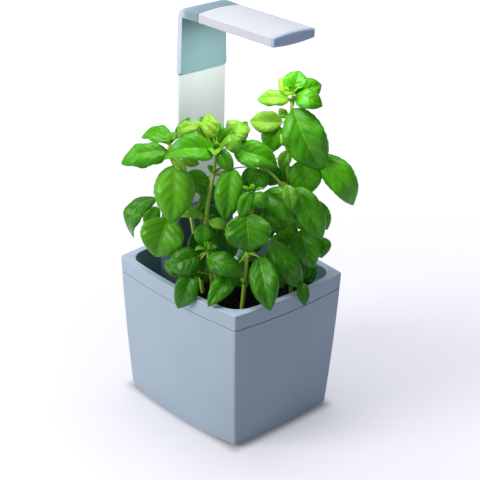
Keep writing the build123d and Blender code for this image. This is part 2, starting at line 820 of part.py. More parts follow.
# Spring contacts behind the upper mast's face, which ride on the strips
contact_rise = 5.0
contact_level = upper_bottom + contact_rise
contact_height = 8.0
contact_foot = 0.4
contact_tip = tongue_front - strip_thickness - screw_gap

with BuildPart() as contact_springs:
    for side in (-1, 1):
        with BuildSketch(Plane.YZ.offset(side * strip_x - strip_half)):
            with BuildLine():
                Polyline(
                    (cavity_front, contact_level), (cavity_front, contact_level + contact_height),
                    (cavity_front + contact_foot, contact_level + contact_height),
                    (contact_tip, contact_level + contact_height / 2),
                    (contact_tip - contact_foot / 2, contact_level + contact_height / 2 - contact_foot),
                    (cavity_front + contact_foot, contact_level + contact_height / 2 + contact_foot),
                    (cavity_front + contact_foot, contact_level), close=True,
                )
            make_face()
        extrude(amount=2 * strip_half)
contact_springs.part.label = "contact_springs"
export_step(contact_springs.part, "parts/contact_springs.step")

# Head shell: crowned top and sides, a frame below round the diffuser, a tenon into the arm
cap_length = 3.0
cap_gap = 0.3
window_half = 22.0
window_rear = 3.0
window_frame = 4.6
window_front = head_tip + cap_length + window_frame
shell_front = head_tip + cap_length + cap_gap
button_y = 12.0
button_radius = 4.5
led_rise = 3.4
led_level = lamp_bottom + led_rise
led_board_thickness = 1.2
lamp_boss_x = 19.5
lamp_boss_radius = 2.2
lamp_screw_radius = 0.9
lamp_screw_head = 1.6
lamp_boss_inset = 4.0
lamp_boss_front = window_front + lamp_boss_inset
lamp_boss_rear = window_rear - lamp_boss_inset
lamp_bosses = [(sx * lamp_boss_x, y) for sx in (-1, 1) for y in (lamp_boss_front, lamp_boss_rear)]

with BuildPart() as head_shell:
    with BuildSketch(facing_back(head_root)):
        add(lens_face(head_half, 0))
    extrude(amount=head_root - shell_front)
    with BuildSketch(facing_back(head_root - head_skin)):
        add(lens_face(head_half, head_skin))
    extrude(amount=head_root - head_skin - shell_front, mode=Mode.SUBTRACT)
    with BuildSketch(Plane.XY.offset(lamp_bottom)):
        with Locations((0, (window_rear + window_front) / 2)):
            Rectangle(2 * window_half, window_rear - window_front)
    extrude(amount=head_sag + head_skin + fit_gap, mode=Mode.SUBTRACT)
    with BuildSketch(Plane.XY.offset(led_level + led_board_thickness)):
        with Locations(lamp_bosses):
            Circle(lamp_boss_radius)
    extrude(amount=edge_top - led_level - led_board_thickness)
    with BuildSketch(Plane.XY.offset(led_level + led_board_thickness)):
        with Locations(lamp_bosses):
            Circle(lamp_screw_radius + screw_gap)
    extrude(amount=head_skin, mode=Mode.SUBTRACT)
    with BuildSketch(Plane.XY.offset(lamp_bottom)):
        with Locations((0, button_y)):
            Circle(button_radius + slide_gap)
    extrude(amount=2 * head_skin, mode=Mode.SUBTRACT)
    with BuildSketch(facing_back(head_root + tenon_length + arm_gap / 2)):
        with Locations((0, tenon_bottom + tenon_height / 2)):
            Rectangle(2 * tenon_half, tenon_height)
    extrude(amount=tenon_length + arm_gap / 2)
    with BuildSketch(facing_back(head_root + tenon_length + arm_gap)):
        with Locations((0, wire_bottom + wire_height / 2)):
            Rectangle(2 * wire_half, wire_height)
    extrude(amount=tenon_length + arm_gap + head_skin, mode=Mode.SUBTRACT)
    with BuildSketch(Plane.XY.offset(tenon_bottom)):
        with Locations(head_screw_places):
            Circle(head_screw_radius + screw_gap)
    extrude(amount=tenon_height / 2, mode=Mode.SUBTRACT)
head_shell.part.label = "head_shell"
export_step(head_shell.part, "parts/head_shell.step")

# Screws up through the arm into the head's tenon
with BuildPart() as head_screws:
    with BuildSketch(Plane.XY.offset(lamp_bottom + head_screw_head)):
        with Locations(head_screw_places):
            Circle(head_screw_head)
    extrude(amount=-head_screw_head / 2)
    with BuildSketch(Plane.XY.offset(lamp_bottom + head_screw_head)):
        with Locations(head_screw_places):
            Circle(head_screw_radius)
    extrude(amount=tenon_bottom + tenon_height / 2 - lamp_bottom - head_screw_head)
head_screws.part.label = "head_screws"
export_step(head_screws.part, "parts/head_screws.step")

# End cap of the head, a closed block with rounded upright corners and a spigot into the shell
cap_corner = 2.2
cap_spigot = 4.0

with BuildPart() as head_end_cap:
    with BuildSketch(facing_back(head_tip + cap_length)):
        add(lens_face(head_half, 0))
    extrude(amount=cap_length)
    fillet(head_end_cap.edges().filter_by(Axis.Z).group_by(Axis.Y)[0], cap_corner)
    with BuildSketch(facing_back(head_tip + cap_length + cap_spigot)):
        add(lens_face(head_half, head_skin + fit_gap))
    extrude(amount=cap_spigot)
head_end_cap.part.label = "head_end_cap"
export_step(head_end_cap.part, "parts/head_end_cap.step")

# Diffuser, a thin lens set flush in the window of the head's underside
diffuser_wall = 1.4

with BuildPart() as head_diffuser:
    with BuildSketch(facing_back(window_rear - fit_gap)):
        add(lens_face(head_half, 0))
        add(lens_face(head_half, diffuser_wall), mode=Mode.SUBTRACT)
        with Locations((0, lamp_bottom)):
            Rectangle(2 * (window_half - fit_gap), 2 * (head_sag + diffuser_wall), mode=Mode.INTERSECT)
    extrude(amount=window_rear - window_front - 2 * fit_gap)
head_diffuser.part.label = "head_diffuser"
export_step(head_diffuser.part, "parts/head_diffuser.step")

# Aluminium board with the lamps' chips
led_board_half = 23.0
led_columns = 4
led_rows = 7
led_size = 3.0
led_height = 0.8
led_pitch_x = 9.0
led_pitch_y = 9.2
window_middle = (window_rear + window_front) / 2
led_board_rear = window_rear
led_board_front = window_front - slide_gap

with BuildPart() as led_board:
    with BuildSketch(Plane.XY.offset(led_level)):
        with Locations((0, (led_board_rear + led_board_front) / 2)):
            Rectangle(2 * led_board_half, led_board_rear - led_board_front)
        with Locations(lamp_bosses):
            Circle(lamp_screw_radius + screw_gap, mode=Mode.SUBTRACT)
    extrude(amount=led_board_thickness)
led_board.part.label = "led_board"
export_step(led_board.part, "parts/led_board.step")

with BuildPart() as led_chips:
    with BuildSketch(Plane.XY.offset(led_level)):
        with Locations((0, window_middle)):
            with GridLocations(led_pitch_x, led_pitch_y, led_columns, led_rows):
                Rectangle(led_size, led_size)
    extrude(amount=-led_height)
led_chips.part.label = "led_chips"
export_step(led_chips.part, "parts/led_chips.step")

with BuildPart() as led_screws:
    with Locations([(x, y, led_level) for x, y in lamp_bosses]):
        Cylinder(lamp_screw_head, led_height, align=(Align.CENTER, Align.CENTER, Align.MAX))
        shank = led_board_thickness + head_skin
        Cylinder(lamp_screw_radius, shank, align=(Align.CENTER, Align.CENTER, Align.MIN))
led_screws.part.label = "led_screws"
export_step(led_screws.part, "parts/led_screws.step")

# Heat spreader on the back of the board, between the screw bosses
spreader_half = lamp_boss_x - lamp_boss_radius - slide_gap
spreader_thickness = 1.2
spreader_fin = 1.4
spreader_pitch = 6.0
spreader_fins = 5
spreader_setback = 6.0
spreader_length = window_rear - spreader_setback - window_front
spreader_middle = window_front + spreader_length / 2

with BuildPart() as heat_spreader:
    with BuildSketch(Plane.XY.offset(led_level + led_board_thickness)):
        with Locations((0, spreader_middle)):
            Rectangle(2 * spreader_half, spreader_length)
    extrude(amount=spreader_thickness)
    with BuildSketch(Plane.XY.offset(led_level + led_board_thickness + spreader_thickness)):
        with Locations((0, spreader_middle)):
            with GridLocations(spreader_pitch, 0, spreader_fins, 1):
                Rectangle(spreader_fin, spreader_length)
    extrude(amount=spreader_fin)
heat_spreader.part.label = "heat_spreader"
export_step(heat_spreader.part, "parts/heat_spreader.step")

# Push button under the root of the head, its switch and the small switch board
button_proud = 0.8
button_height = 2.8
button_flange = 1.0
button_flange_height = 0.6
plunger_radius = 1.5
switch_half = 3.0
switch_height = 2.4
switch_board_half = 7.0
switch_board_thickness = 1.0
button_bottom = lamp_bottom - button_proud
flange_bottom = lamp_bottom + head_skin + 2 * fit_gap
switch_bottom = flange_bottom + button_flange_height + plunger_radius + fit_gap
plunger_top = switch_bottom - button_travel - fit_gap
switch_board_rear = head_root - head_skin - slide_gap
switch_board_front = button_y - 2 * switch_half
switch_top = switch_bottom + switch_height

with BuildPart() as power_button:
    with Locations((0, button_y, button_bottom)):
        Cylinder(button_radius, button_height, align=(Align.CENTER, Align.CENTER, Align.MIN))
    fillet(power_button.edges().group_by(Axis.Z)[0], button_flange_height)
    with Locations((0, button_y, flange_bottom)):
        flange_radius = button_radius + button_flange
        Cylinder(flange_radius, button_flange_height, align=(Align.CENTER, Align.CENTER, Align.MIN))
        Cylinder(plunger_radius, plunger_top - flange_bottom, align=(Align.CENTER, Align.CENTER, Align.MIN))
power_button.part.label = "power_button"
export_step(power_button.part, "parts/power_button.step")

with BuildPart() as button_switch:
    with BuildSketch(Plane.XY.offset(switch_bottom)):
        with Locations((0, button_y)):
            Rectangle(2 * switch_half, 2 * switch_half)
    extrude(amount=switch_height)
button_switch.part.label = "button_switch"
export_step(button_switch.part, "parts/button_switch.step")

with BuildPart() as switch_board:
    with BuildSketch(Plane.XY.offset(switch_top)):
        with Locations((0, (switch_board_front + switch_board_rear) / 2)):
            Rectangle(2 * switch_board_half, switch_board_rear - switch_board_front)
    extrude(amount=switch_board_thickness)
switch_board.part.label = "switch_board"
export_step(switch_board.part, "parts/switch_board.step")

# Flat lead from the contacts round the elbow to the switch board
lamp_flex_y = cavity_front + flex_thickness
lamp_flex_z = switch_top - flex_thickness / 2
lamp_flex_end = button_y + switch_half + slide_gap
lamp_flex_bend = 1.0

with BuildPart() as lamp_flex:
    with BuildSketch(Plane.YZ.offset(-flex_half)):
        with BuildLine():
            FilletPolyline((lamp_flex_y, contact_level + contact_height), (lamp_flex_y, lamp_flex_z),
                           (lamp_flex_end, lamp_flex_z), radius=lamp_flex_bend)
        trace(line_width=flex_thickness)
    extrude(amount=2 * flex_half)
lamp_flex.part.label = "lamp_flex"
export_step(lamp_flex.part, "parts/lamp_flex.step")

# Short lead from the switch board down to the lamp board
led_lead_front = window_rear - spreader_setback + slide_gap
led_lead_rear = button_y - switch_half - slide_gap
led_lead_low = led_level + led_board_thickness + flex_thickness / 2

with BuildPart() as led_lead:
    with BuildSketch(Plane.YZ.offset(-flex_half)):
        with BuildLine():
            FilletPolyline((led_lead_rear, lamp_flex_z), (switch_board_front, lamp_flex_z),
                           (window_rear, led_lead_low), (led_lead_front, led_lead_low), radius=flex_thickness)
        trace(line_width=flex_thickness)
    extrude(amount=2 * flex_half)
led_lead.part.label = "led_lead"
export_step(led_lead.part, "parts/led_lead.step")

# Grow pot, the inner pot that lifts out of the tank
pot_half_top = 60.0
pot_half_bottom = 55.0
pot_front_top = -74.0
pot_front_bottom = -70.0
pot_rear = 32.0
pot_top = 129.0
pot_wall = 1.8
pot_radius = 14.0
drain_radius = 2.5
drain_pitch = 18.0
drain_count = 5
wick_radius = 4.0
wick_x = 27.0
wick_y = -20.0
wick_places = [(-wick_x, wick_y), (wick_x, wick_y)]


def pot_face(level, inset):
    """Plan of the grow pot: a rounded rectangle that widens upwards."""
    up = (level - pot_seat) / (pot_top - pot_seat)
    half = pot_half_bottom + (pot_half_top - pot_half_bottom) * up - inset
    front = pot_front_bottom + (pot_front_top - pot_front_bottom) * up + inset
    rear = pot_rear - inset
    with BuildSketch(Plane.XY.offset(level)) as face:
        with Locations((0, (front + rear) / 2)):
            RectangleRounded(2 * half, rear - front, pot_radius - inset)
    return face.sketch


with BuildPart() as grow_pot:
    loft([pot_face(pot_seat, 0), pot_face(pot_top, 0)], ruled=True)
    hollow = [pot_face(pot_seat + pot_wall, pot_wall), pot_face(pot_top, pot_wall)]
    loft(hollow, ruled=True, mode=Mode.SUBTRACT)
    with BuildSketch(Plane.XY.offset(pot_seat)):
        with Locations((0, wick_y)):
            with GridLocations(drain_pitch, drain_pitch, drain_count, drain_count):
                Circle(drain_radius)
        with Locations(wick_places):
            Circle(wick_radius + slide_gap)
    extrude(amount=pot_wall, mode=Mode.SUBTRACT)
grow_pot.part.label = "grow_pot"
export_step(grow_pot.part, "parts/grow_pot.step")

# Wicks, which hang from the soil into the water
wick_clearance = 2.0
wick_hold = 14.0
wick_bottom = tank_inside_floor + wick_clearance
wick_top = pot_seat + wick_hold

with BuildPart() as wicks:
    with BuildSketch(Plane.XY.offset(wick_bottom)):
        with Locations(wick_places):
            Circle(wick_radius)
    extrude(amount=wick_top - wick_bottom)
wicks.part.label = "wicks"
export_step(wicks.part, "parts/wicks.step")

# Potting soil, with the wicks' holes
soil_drop = 7.0
soil_top = pot_top - soil_drop
soil_gap = 0.3

with BuildPart() as potting_soil:
    loft([pot_face(level, pot_wall + soil_gap) for level in (pot_seat + pot_wall, soil_top)], ruled=True)
    with BuildSketch(Plane.XY.offset(pot_seat + pot_wall)):
        with Locations(wick_places):
            Circle(wick_radius + soil_gap)
    extrude(amount=wick_top + soil_gap - pot_seat - pot_wall, mode=Mode.SUBTRACT)
potting_soil.part.label = "potting_soil"
export_step(potting_soil.part, "parts/potting_soil.step")

# Water level float: guide tube with its cap, float body, rod and marker
guide_x = 50.0
guide_y = 54.0
guide_tube_radius = 8.0
guide_tube_bore = 6.6
guide_tube_top = 116.0
float_radius = 6.2
float_height = 16.0
rod_radius = 1.2
marker_radius = 4.0
marker_height = 5.0
slot_height = 12.0
slot_width = 4.0
cap_thickness = 2.0
rod_stand = 8.0
rod_top = guide_tube_top + cap_thickness + rod_stand
stop_radius = 4.5
stop_height = 2.0
stop_level = guide_tube_top - float_rise - stop_height

with BuildPart() as float_guide:
    with BuildSketch(Plane.XY.offset(tank_inside_floor)):
        with Locations((guide_x, guide_y)):
            Circle(guide_tube_radius)
            Circle(guide_tube_bore, mode=Mode.SUBTRACT)
    extrude(amount=guide_tube_top - tank_inside_floor)
    with BuildSketch(Plane.XY.offset(guide_tube_top)):
        with Locations((guide_x, guide_y)):
            Circle(guide_tube_radius)
            Circle(rod_radius + slide_gap, mode=Mode.SUBTRACT)
    extrude(amount=cap_thickness)
    with BuildSketch(Plane.XY.offset(tank_inside_floor)):
        with Locations((guide_x, guide_y)):
            Rectangle(2 * guide_tube_radius + cut_over, slot_width)
    extrude(amount=slot_height, mode=Mode.SUBTRACT)
float_guide.part.label = "float_guide"
export_step(float_guide.part, "parts/float_guide.step")

with BuildPart() as level_float:
    with Locations((guide_x, guide_y, tank_inside_floor + slide_gap)):
        Cylinder(float_radius, float_height, align=(Align.CENTER, Align.CENTER, Align.MIN))
        rod_length = rod_top - tank_inside_floor - slide_gap
        Cylinder(rod_radius, rod_length, align=(Align.CENTER, Align.CENTER, Align.MIN))
    with Locations((guide_x, guide_y, stop_level)):
        Cylinder(stop_radius, stop_height, align=(Align.CENTER, Align.CENTER, Align.MIN))
level_float.part.label = "level_float"
export_step(level_float.part, "parts/level_float.step")

with BuildPart() as float_marker:
    with Locations((guide_x, guide_y, rod_top)):
        Cylinder(marker_radius, marker_height, align=(Align.CENTER, Align.CENTER, Align.MIN))
    fillet(float_marker.edges().group_by(Axis.Z)[-1], marker_radius / 2)
float_marker.part.label = "float_marker"
export_step(float_marker.part, "parts/float_marker.step")

# Basil plants, set out as seen from in front of the body's near corner. Each place is a share of
# the plants' reach: across, up and towards the eye from the middle of the soil. A plant has its
# foot (across and towards), its joints, and its leaves: the joint it grows from, where its blade
# starts and ends, its width, how far it faces the eye (as a share of a right angle) and its arch.
plant_reach = 98.0
sight_distance = 1370.0
sight_turn = -43.3
sight_rise = 27.2
sight_slant = 1.3
right_angle = 90.0
stem_radius = 1.7
joint_radius = 2.3
foot_radius_above = 2.1
foot_height = 5.0
petiole_radius = 0.9
leaf_thickness = 1.0
leaf_widest_share = 0.4
petiole_hold_share = 0.1

plant_shares = {
    "left": {
        "foot": (-0.42, 0.00),
        "joints": [(-0.54, 0.83, 0.05), (-0.66, 1.20, 0.08), (-0.73, 1.37, 0.10), (-0.75, 1.49, 0.08)],
        "leaves": [
            (3, (-0.73, 1.53, 0.05), (-1.04, 1.60, -0.12), 0.22, 0.30, 0.05),
            (3, (-0.77, 1.44, 0.12), (-1.24, 1.34, 0.20), 0.26, 0.45, 0.07),
            (2, (-0.70, 1.30, 0.16), (-0.73, 0.72, 0.42), 0.39, 0.95, 0.06),
            (1, (-0.88, 0.97, 0.02), (-1.17, 0.59, 0.12), 0.32, 0.35, 0.18),
            (0, (-0.87, 0.88, -0.12), (-0.98, 0.67, -0.10), 0.16, 0.85, 0.03),
            (1, (-0.56, 1.23, 0.00), (-0.34, 1.03, 0.04), 0.20, 0.75, 0.04),
            (2, (-0.68, 1.57, -0.12), (-0.55, 1.78, -0.20), 0.09, 0.60, 0.05),
        ],
    },
    "middle": {
        "foot": (-0.27, 0.10),
        "joints": [(-0.31, 0.47, 0.12), (-0.38, 0.76, 0.20), (-0.31, 1.20, 0.12), (-0.28, 1.43, 0.08)],
        "leaves": [
            (3, (-0.31, 1.44, 0.12), (-0.80, 1.40, 0.28), 0.29, 0.45, 0.12),
            (1, (-0.74, 0.77, 0.30), (-0.88, 0.38, 0.48), 0.42, 0.80, 0.04),
            (1, (-0.41, 0.79, 0.22), (-0.58, 0.80, 0.20), 0.11, 0.45, 0.04),
            (1, (-0.41, 0.71, 0.27), (-0.42, 0.49, 0.36), 0.18, 0.95, 0.03),
            (1, (-0.35, 0.74, 0.26), (-0.17, 0.68, 0.33), 0.12, 0.60, 0.04),
            (2, (-0.38, 1.02, 0.12), (-0.44, 0.85, 0.12), 0.09, 0.85, 0.02),
            (3, (-0.12, 1.27, 0.20), (-0.19, 0.75, 0.38), 0.27, 0.95, 0.06),
            (3, (-0.10, 1.47, 0.02), (0.34, 1.31, 0.12), 0.28, 0.50, 0.07),
            (3, (-0.31, 1.55, 0.00), (-0.44, 1.79, -0.10), 0.15, 0.75, 0.04),
            (3, (-0.24, 1.52, 0.03), (-0.29, 1.73, -0.04), 0.15, 0.85, 0.03),
            (3, (-0.20, 1.52, 0.02), (-0.10, 1.71, -0.06), 0.14, 0.75, 0.03),
            (3, (-0.17, 1.51, -0.05), (0.03, 1.74, -0.15), 0.19, 0.65, 0.03),
            (0, (-0.36, 0.50, 0.20), (-0.39, 0.11, 0.30), 0.20, 0.90, 0.04),
        ],
    },
    "low_left": {
        "foot": (-0.30, 0.38),
        "joints": [(-0.33, 0.20, 0.42), (-0.36, 0.44, 0.42)],
        "leaves": [
            (1, (-0.45, 0.39, 0.44), (-0.75, 0.27, 0.50), 0.28, 0.60, 0.08),
            (0, (-0.61, 0.23, 0.42), (-0.80, 0.33, 0.38), 0.18, 0.65, 0.03),
            (1, (-0.51, 0.26, 0.48), (-0.66, -0.14, 0.60), 0.23, 0.80, 0.08),
            (1, (-0.37, 0.38, 0.48), (-0.01, 0.20, 0.63), 0.23, 0.60, 0.08),
        ],
    },
    "near": {
        "foot": (-0.02, 0.42),
        "joints": [(0.00, 0.10, 0.44), (0.03, 0.42, 0.42), (0.07, 0.84, 0.36), (0.08, 1.04, 0.32)],
        "leaves": [
            (2, (0.03, 0.82, 0.42), (0.05, 0.43, 0.58), 0.43, 0.85, 0.03),
            (3, (0.07, 1.03, 0.36), (-0.04, 0.77, 0.46), 0.15, 0.85, 0.03),
            (3, (0.10, 1.02, 0.34), (0.19, 0.87, 0.42), 0.16, 0.80, 0.03),
            (1, (0.15, 0.38, 0.50), (0.25, -0.14, 0.86), 0.27, 0.90, 0.07),
            (1, (-0.12, 0.21, 0.50), (-0.36, -0.11, 0.82), 0.20, 0.70, 0.06),
            (1, (0.12, 0.42, 0.34), (-0.07, 0.33, 0.38), 0.13, 0.60, 0.02),
        ],
    },
    "far": {
        "foot": (0.10, -0.12),
        "joints": [(0.14, 0.60, -0.04), (0.38, 1.02, 0.02), (0.21, 1.28, 0.04)],
        "leaves": [
            (0, (-0.22, 0.70, 0.08), (-0.15, 0.40, 0.18), 0.20, 0.90, 0.02),
            (2, (0.20, 1.24, 0.08), (0.06, 1.07, 0.14), 0.22, 0.80, 0.03),
            (1, (0.20, 1.03, 0.18), (0.58, 0.73, 0.32), 0.30, 0.75, 0.06),
            (1, (0.43, 1.09, 0.16), (0.46, 0.90, 0.26), 0.14, 0.90, 0.02),
            (0, (0.22, 0.79, 0.14), (0.37, 0.62, 0.20), 0.17, 0.75, 0.03),
            (0, (0.35, 0.77, 0.10), (0.48, 0.48, 0.20), 0.21, 0.80, 0.06),
        ],
    },
    "tall": {
        "foot": (0.30, -0.12),
        "joints": [
            (0.40, 0.70, -0.12), (0.44, 1.42, -0.18), (0.46, 1.74, -0.22),
            (0.48, 1.92, -0.22), (0.485, 2.01, -0.22),
        ],
        "leaves": [
            (3, (0.49, 1.87, -0.16), (0.78, 1.25, 0.06), 0.40, 0.85, 0.06),
            (4, (0.50, 2.05, -0.22), (0.78, 2.15, -0.26), 0.30, 0.85, 0.03),
            (4, (0.47, 2.05, -0.24), (0.38, 2.26, -0.30), 0.19, 0.85, 0.03),
            (4, (0.51, 1.99, -0.18), (0.78, 1.90, -0.08), 0.20, 0.60, 0.07),
            (3, (0.45, 1.95, -0.22), (0.13, 1.97, -0.26), 0.18, 0.50, 0.03),
            (2, (0.29, 1.72, -0.29), (0.24, 1.46, -0.24), 0.20, 0.85, 0.02),
            (2, (0.33, 1.74, -0.30), (0.06, 1.74, -0.36), 0.17, 0.55, 0.03),
            (2, (0.42, 1.79, -0.27), (0.33, 1.81, -0.30), 0.09, 0.60, 0.02),
            (1, (0.59, 1.36, -0.06), (0.63, 1.00, 0.10), 0.32, 0.95, 0.03),
            (1, (0.76, 1.40, -0.16), (1.11, 0.90, -0.02), 0.29, 0.65, 0.10),
        ],
    },
    "right": {
        "foot": (0.46, 0.14),
        "joints": [(0.48, 0.30, 0.18), (0.58, 0.64, 0.14), (0.52, 1.00, 0.10)],
        "leaves": [
            (2, (0.53, 1.08, 0.14), (0.78, 0.55, 0.30), 0.28, 0.75, 0.07),
            (2, (0.68, 0.95, 0.02), (0.83, 0.65, 0.08), 0.20, 0.75, 0.03),
            (1, (0.73, 0.58, 0.14), (0.77, 0.37, 0.22), 0.21, 0.85, 0.04),
            (1, (0.56, 0.65, 0.18), (0.69, 0.27, 0.30), 0.29, 0.80, 0.08),
            (0, (0.27, 0.54, 0.34), (0.56, 0.05, 0.48), 0.24, 0.75, 0.06),
            (0, (0.57, 0.13, 0.45), (0.60, -0.10, 0.56), 0.12, 0.85, 0.02),
            (0, (0.22, 0.37, 0.26), (0.39, 0.07, 0.36), 0.19, 0.80, 0.03),
            (0, (0.61, 0.33, 0.14), (0.60, 0.12, 0.18), 0.10, 0.90, 0.02),
            (0, (0.26, 0.56, 0.22), (0.41, 0.51, 0.22), 0.13, 0.60, 0.02),
        ],
    },
}

turn, rise, slant = (math.radians(angle) for angle in (sight_turn, sight_rise, sight_slant))
soil_middle = Vector(0, (pot_front_top + pot_rear) / 2, soil_top)
upright = Vector(0, 0, 1)
level_right = Vector(math.cos(turn), math.sin(turn), 0)
towards = Vector(math.sin(turn), -math.cos(turn), 0)
eye = soil_middle + (towards * math.cos(rise) + upright * math.sin(rise)) * sight_distance
sight_up = upright * math.cos(rise) - towards * math.sin(rise)
sight_right = level_right * math.cos(slant) + sight_up * math.sin(slant)
sight_top = sight_up * math.cos(slant) - level_right * math.sin(slant)


def plant_point(across_share, up_share, toward_share):
    """Point that the eye sees at these shares across and up, at this share towards it."""
    aim = soil_middle + (sight_right * across_share + sight_top * up_share) * plant_reach
    line = aim - eye
    along = (toward_share * plant_reach - (eye - soil_middle).dot(towards)) / line.dot(towards)
    return eye + line * along


def rod(start, end, radius):
    """Round rod between two points."""
    with BuildPart() as piece:
        with BuildSketch(Plane(origin=start, z_dir=end - start)):
            Circle(radius)
        extrude(amount=(end - start).length)
    return piece.part


def knot(centre):
    """Swollen joint of a stem."""
    with BuildPart() as piece:
        with Locations(centre):
            Sphere(joint_radius)
    return piece.part


def leaf_normal(chord, facing_share):
    """Direction that a blade faces, square to its length."""
    angle = math.radians(facing_share * right_angle)
    facing = upright * math.cos(angle) + towards * math.sin(angle)
    return (facing - chord * (facing.dot(chord) / chord.length**2)).normalized()


def leaf_blade(base, chord, normal, width, arch):
    """Blade of one leaf: a thin arched band cut to an egg-shaped outline."""
    length = chord.length
    widest = leaf_widest_share * length
    with BuildPart() as blade:
        with BuildSketch(Plane(origin=base, x_dir=chord, z_dir=chord.cross(normal))):
            with BuildLine():
                ThreePointArc((0, 0), (length / 2, arch), (length, 0))
                Line((length, 0), (length, -leaf_thickness))
                under = (length / 2, arch - leaf_thickness)
                ThreePointArc((length, -leaf_thickness), under, (0, -leaf_thickness))
                Line((0, -leaf_thickness), (0, 0))
            make_face()
        extrude(amount=width, both=True)
        with BuildSketch(Plane(origin=base, x_dir=chord, z_dir=normal)):
            with BuildLine():
                TangentArc((widest, width / 2), (0, 0), tangent=(-1, 0))
                TangentArc((widest, width / 2), (length, 0), tangent=(1, 0))
                TangentArc((widest, -width / 2), (length, 0), tangent=(1, 0))
                TangentArc((widest, -width / 2), (0, 0), tangent=(-1, 0))
            make_face()
        extrude(amount=arch + 2 * leaf_thickness, both=True, mode=Mode.INTERSECT)
    return blade.part


growth = []
for plant in plant_shares.values():
    across_share, toward_share = plant["foot"]
    foot = soil_middle + (level_right * across_share + towards * toward_share) * plant_reach
    crown = foot + upright * foot_height
    joints = [plant_point(*shares) for shares in plant["joints"]]
    growth.append(rod(foot, crown, foot_radius_above))
    growth.append(knot(crown))
    for lower, upper in zip([crown] + joints, joints):
        growth.append(rod(lower, upper, stem_radius))
        growth.append(knot(upper))
    for joint, base_shares, tip_shares, width_share, facing_share, arch_share in plant["leaves"]:
        base, tip = plant_point(*base_shares), plant_point(*tip_shares)
        chord, arch = tip - base, arch_share * plant_reach
        normal = leaf_normal(chord, facing_share)
        lift = 4 * arch * petiole_hold_share * (1 - petiole_hold_share) - leaf_thickness / 2
        hold = base + chord * petiole_hold_share + normal * lift
        growth.append(rod(joints[joint], hold, petiole_radius))
        growth.append(leaf_blade(base, chord, normal, width_share * plant_reach, arch))

with BuildPart() as basil_plants:
    add(growth)
basil_plants.part.label = "basil_plants"
export_step(basil_plants.part, "parts/basil_plants.step")
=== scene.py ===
import json
import math

import bpy
import numpy as np
from mathutils import Matrix, Vector


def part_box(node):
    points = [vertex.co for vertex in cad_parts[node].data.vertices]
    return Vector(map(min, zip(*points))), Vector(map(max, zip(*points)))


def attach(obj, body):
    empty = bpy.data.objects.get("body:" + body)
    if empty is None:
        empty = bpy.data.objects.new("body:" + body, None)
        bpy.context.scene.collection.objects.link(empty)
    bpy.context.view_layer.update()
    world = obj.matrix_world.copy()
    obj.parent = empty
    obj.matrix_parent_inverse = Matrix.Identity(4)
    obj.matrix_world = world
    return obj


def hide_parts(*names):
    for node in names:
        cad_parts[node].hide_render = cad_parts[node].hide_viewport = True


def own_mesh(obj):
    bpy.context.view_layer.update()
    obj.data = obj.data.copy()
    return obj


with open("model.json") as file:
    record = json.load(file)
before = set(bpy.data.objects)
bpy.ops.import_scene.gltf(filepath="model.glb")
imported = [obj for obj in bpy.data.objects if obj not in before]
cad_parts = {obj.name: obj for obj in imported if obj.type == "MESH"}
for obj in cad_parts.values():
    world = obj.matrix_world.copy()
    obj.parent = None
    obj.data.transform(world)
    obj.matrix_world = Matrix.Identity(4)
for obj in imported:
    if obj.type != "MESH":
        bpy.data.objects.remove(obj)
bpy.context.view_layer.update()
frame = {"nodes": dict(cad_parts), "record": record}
mm = 0.001
chance = np.random.default_rng(7)
print("frame loaded:", len(frame["nodes"]), "nodes")


def linear(code):  # sRGB hex to the linear colour that the shaders take
    parts = [int(code[i:i + 2], 16) / 255 for i in (1, 3, 5)]
    return tuple(c / 12.92 if c <= 0.04045 else ((c + 0.055) / 1.055) ** 2.4 for c in parts) + (1.0,)


def addNode(tree, kind, values=(), output=0, **settings):
    # one node with its settings, and with what goes into its sockets, in their order or by their names
    node = tree.nodes.new("ShaderNode" + kind)
    for name, value in settings.items():
        setattr(node, name, value)
    for socket, value in (values.items() if isinstance(values, dict) else enumerate(values)):
        if isinstance(value, bpy.types.NodeSocket):
            tree.links.new(value, node.inputs[socket])
        else:
            node.inputs[socket].default_value = value
    return node.outputs[output] if node.outputs else node


def startMaterial(name):  # an empty material, its node tree and the place of each point
    material = bpy.data.materials.new(name)
    material.use_nodes = True
    tree = material.node_tree
    tree.nodes.clear()
    return material, tree, addNode(tree, "TexCoord", output="Object")


def endMaterial(material, base, layers, gloss, bump, sockets):
    # a base colour with others over it, each by its share, and a bump of some strength, depth in millimetres
    # and height, all on one shader with what else it takes
    tree, tint = material.node_tree, linear(base)
    for share, code in layers:
        tint = addNode(tree, "Mix", {0: share, 6: tint, 7: linear(code)}, 2, data_type="RGBA")
    strength, depth, height = bump
    relief = addNode(tree, "Bump", {"Strength": strength, "Distance": depth * mm, "Height": height})
    body = addNode(tree, "BsdfPrincipled", {
        "Base Color": tint, "Roughness": gloss, "Normal": relief, **sockets,
    })
    addNode(tree, "OutputMaterial", {"Surface": body})
    return material


# Finishes. Sizes are in millimetres, and each is named for the real stuff.

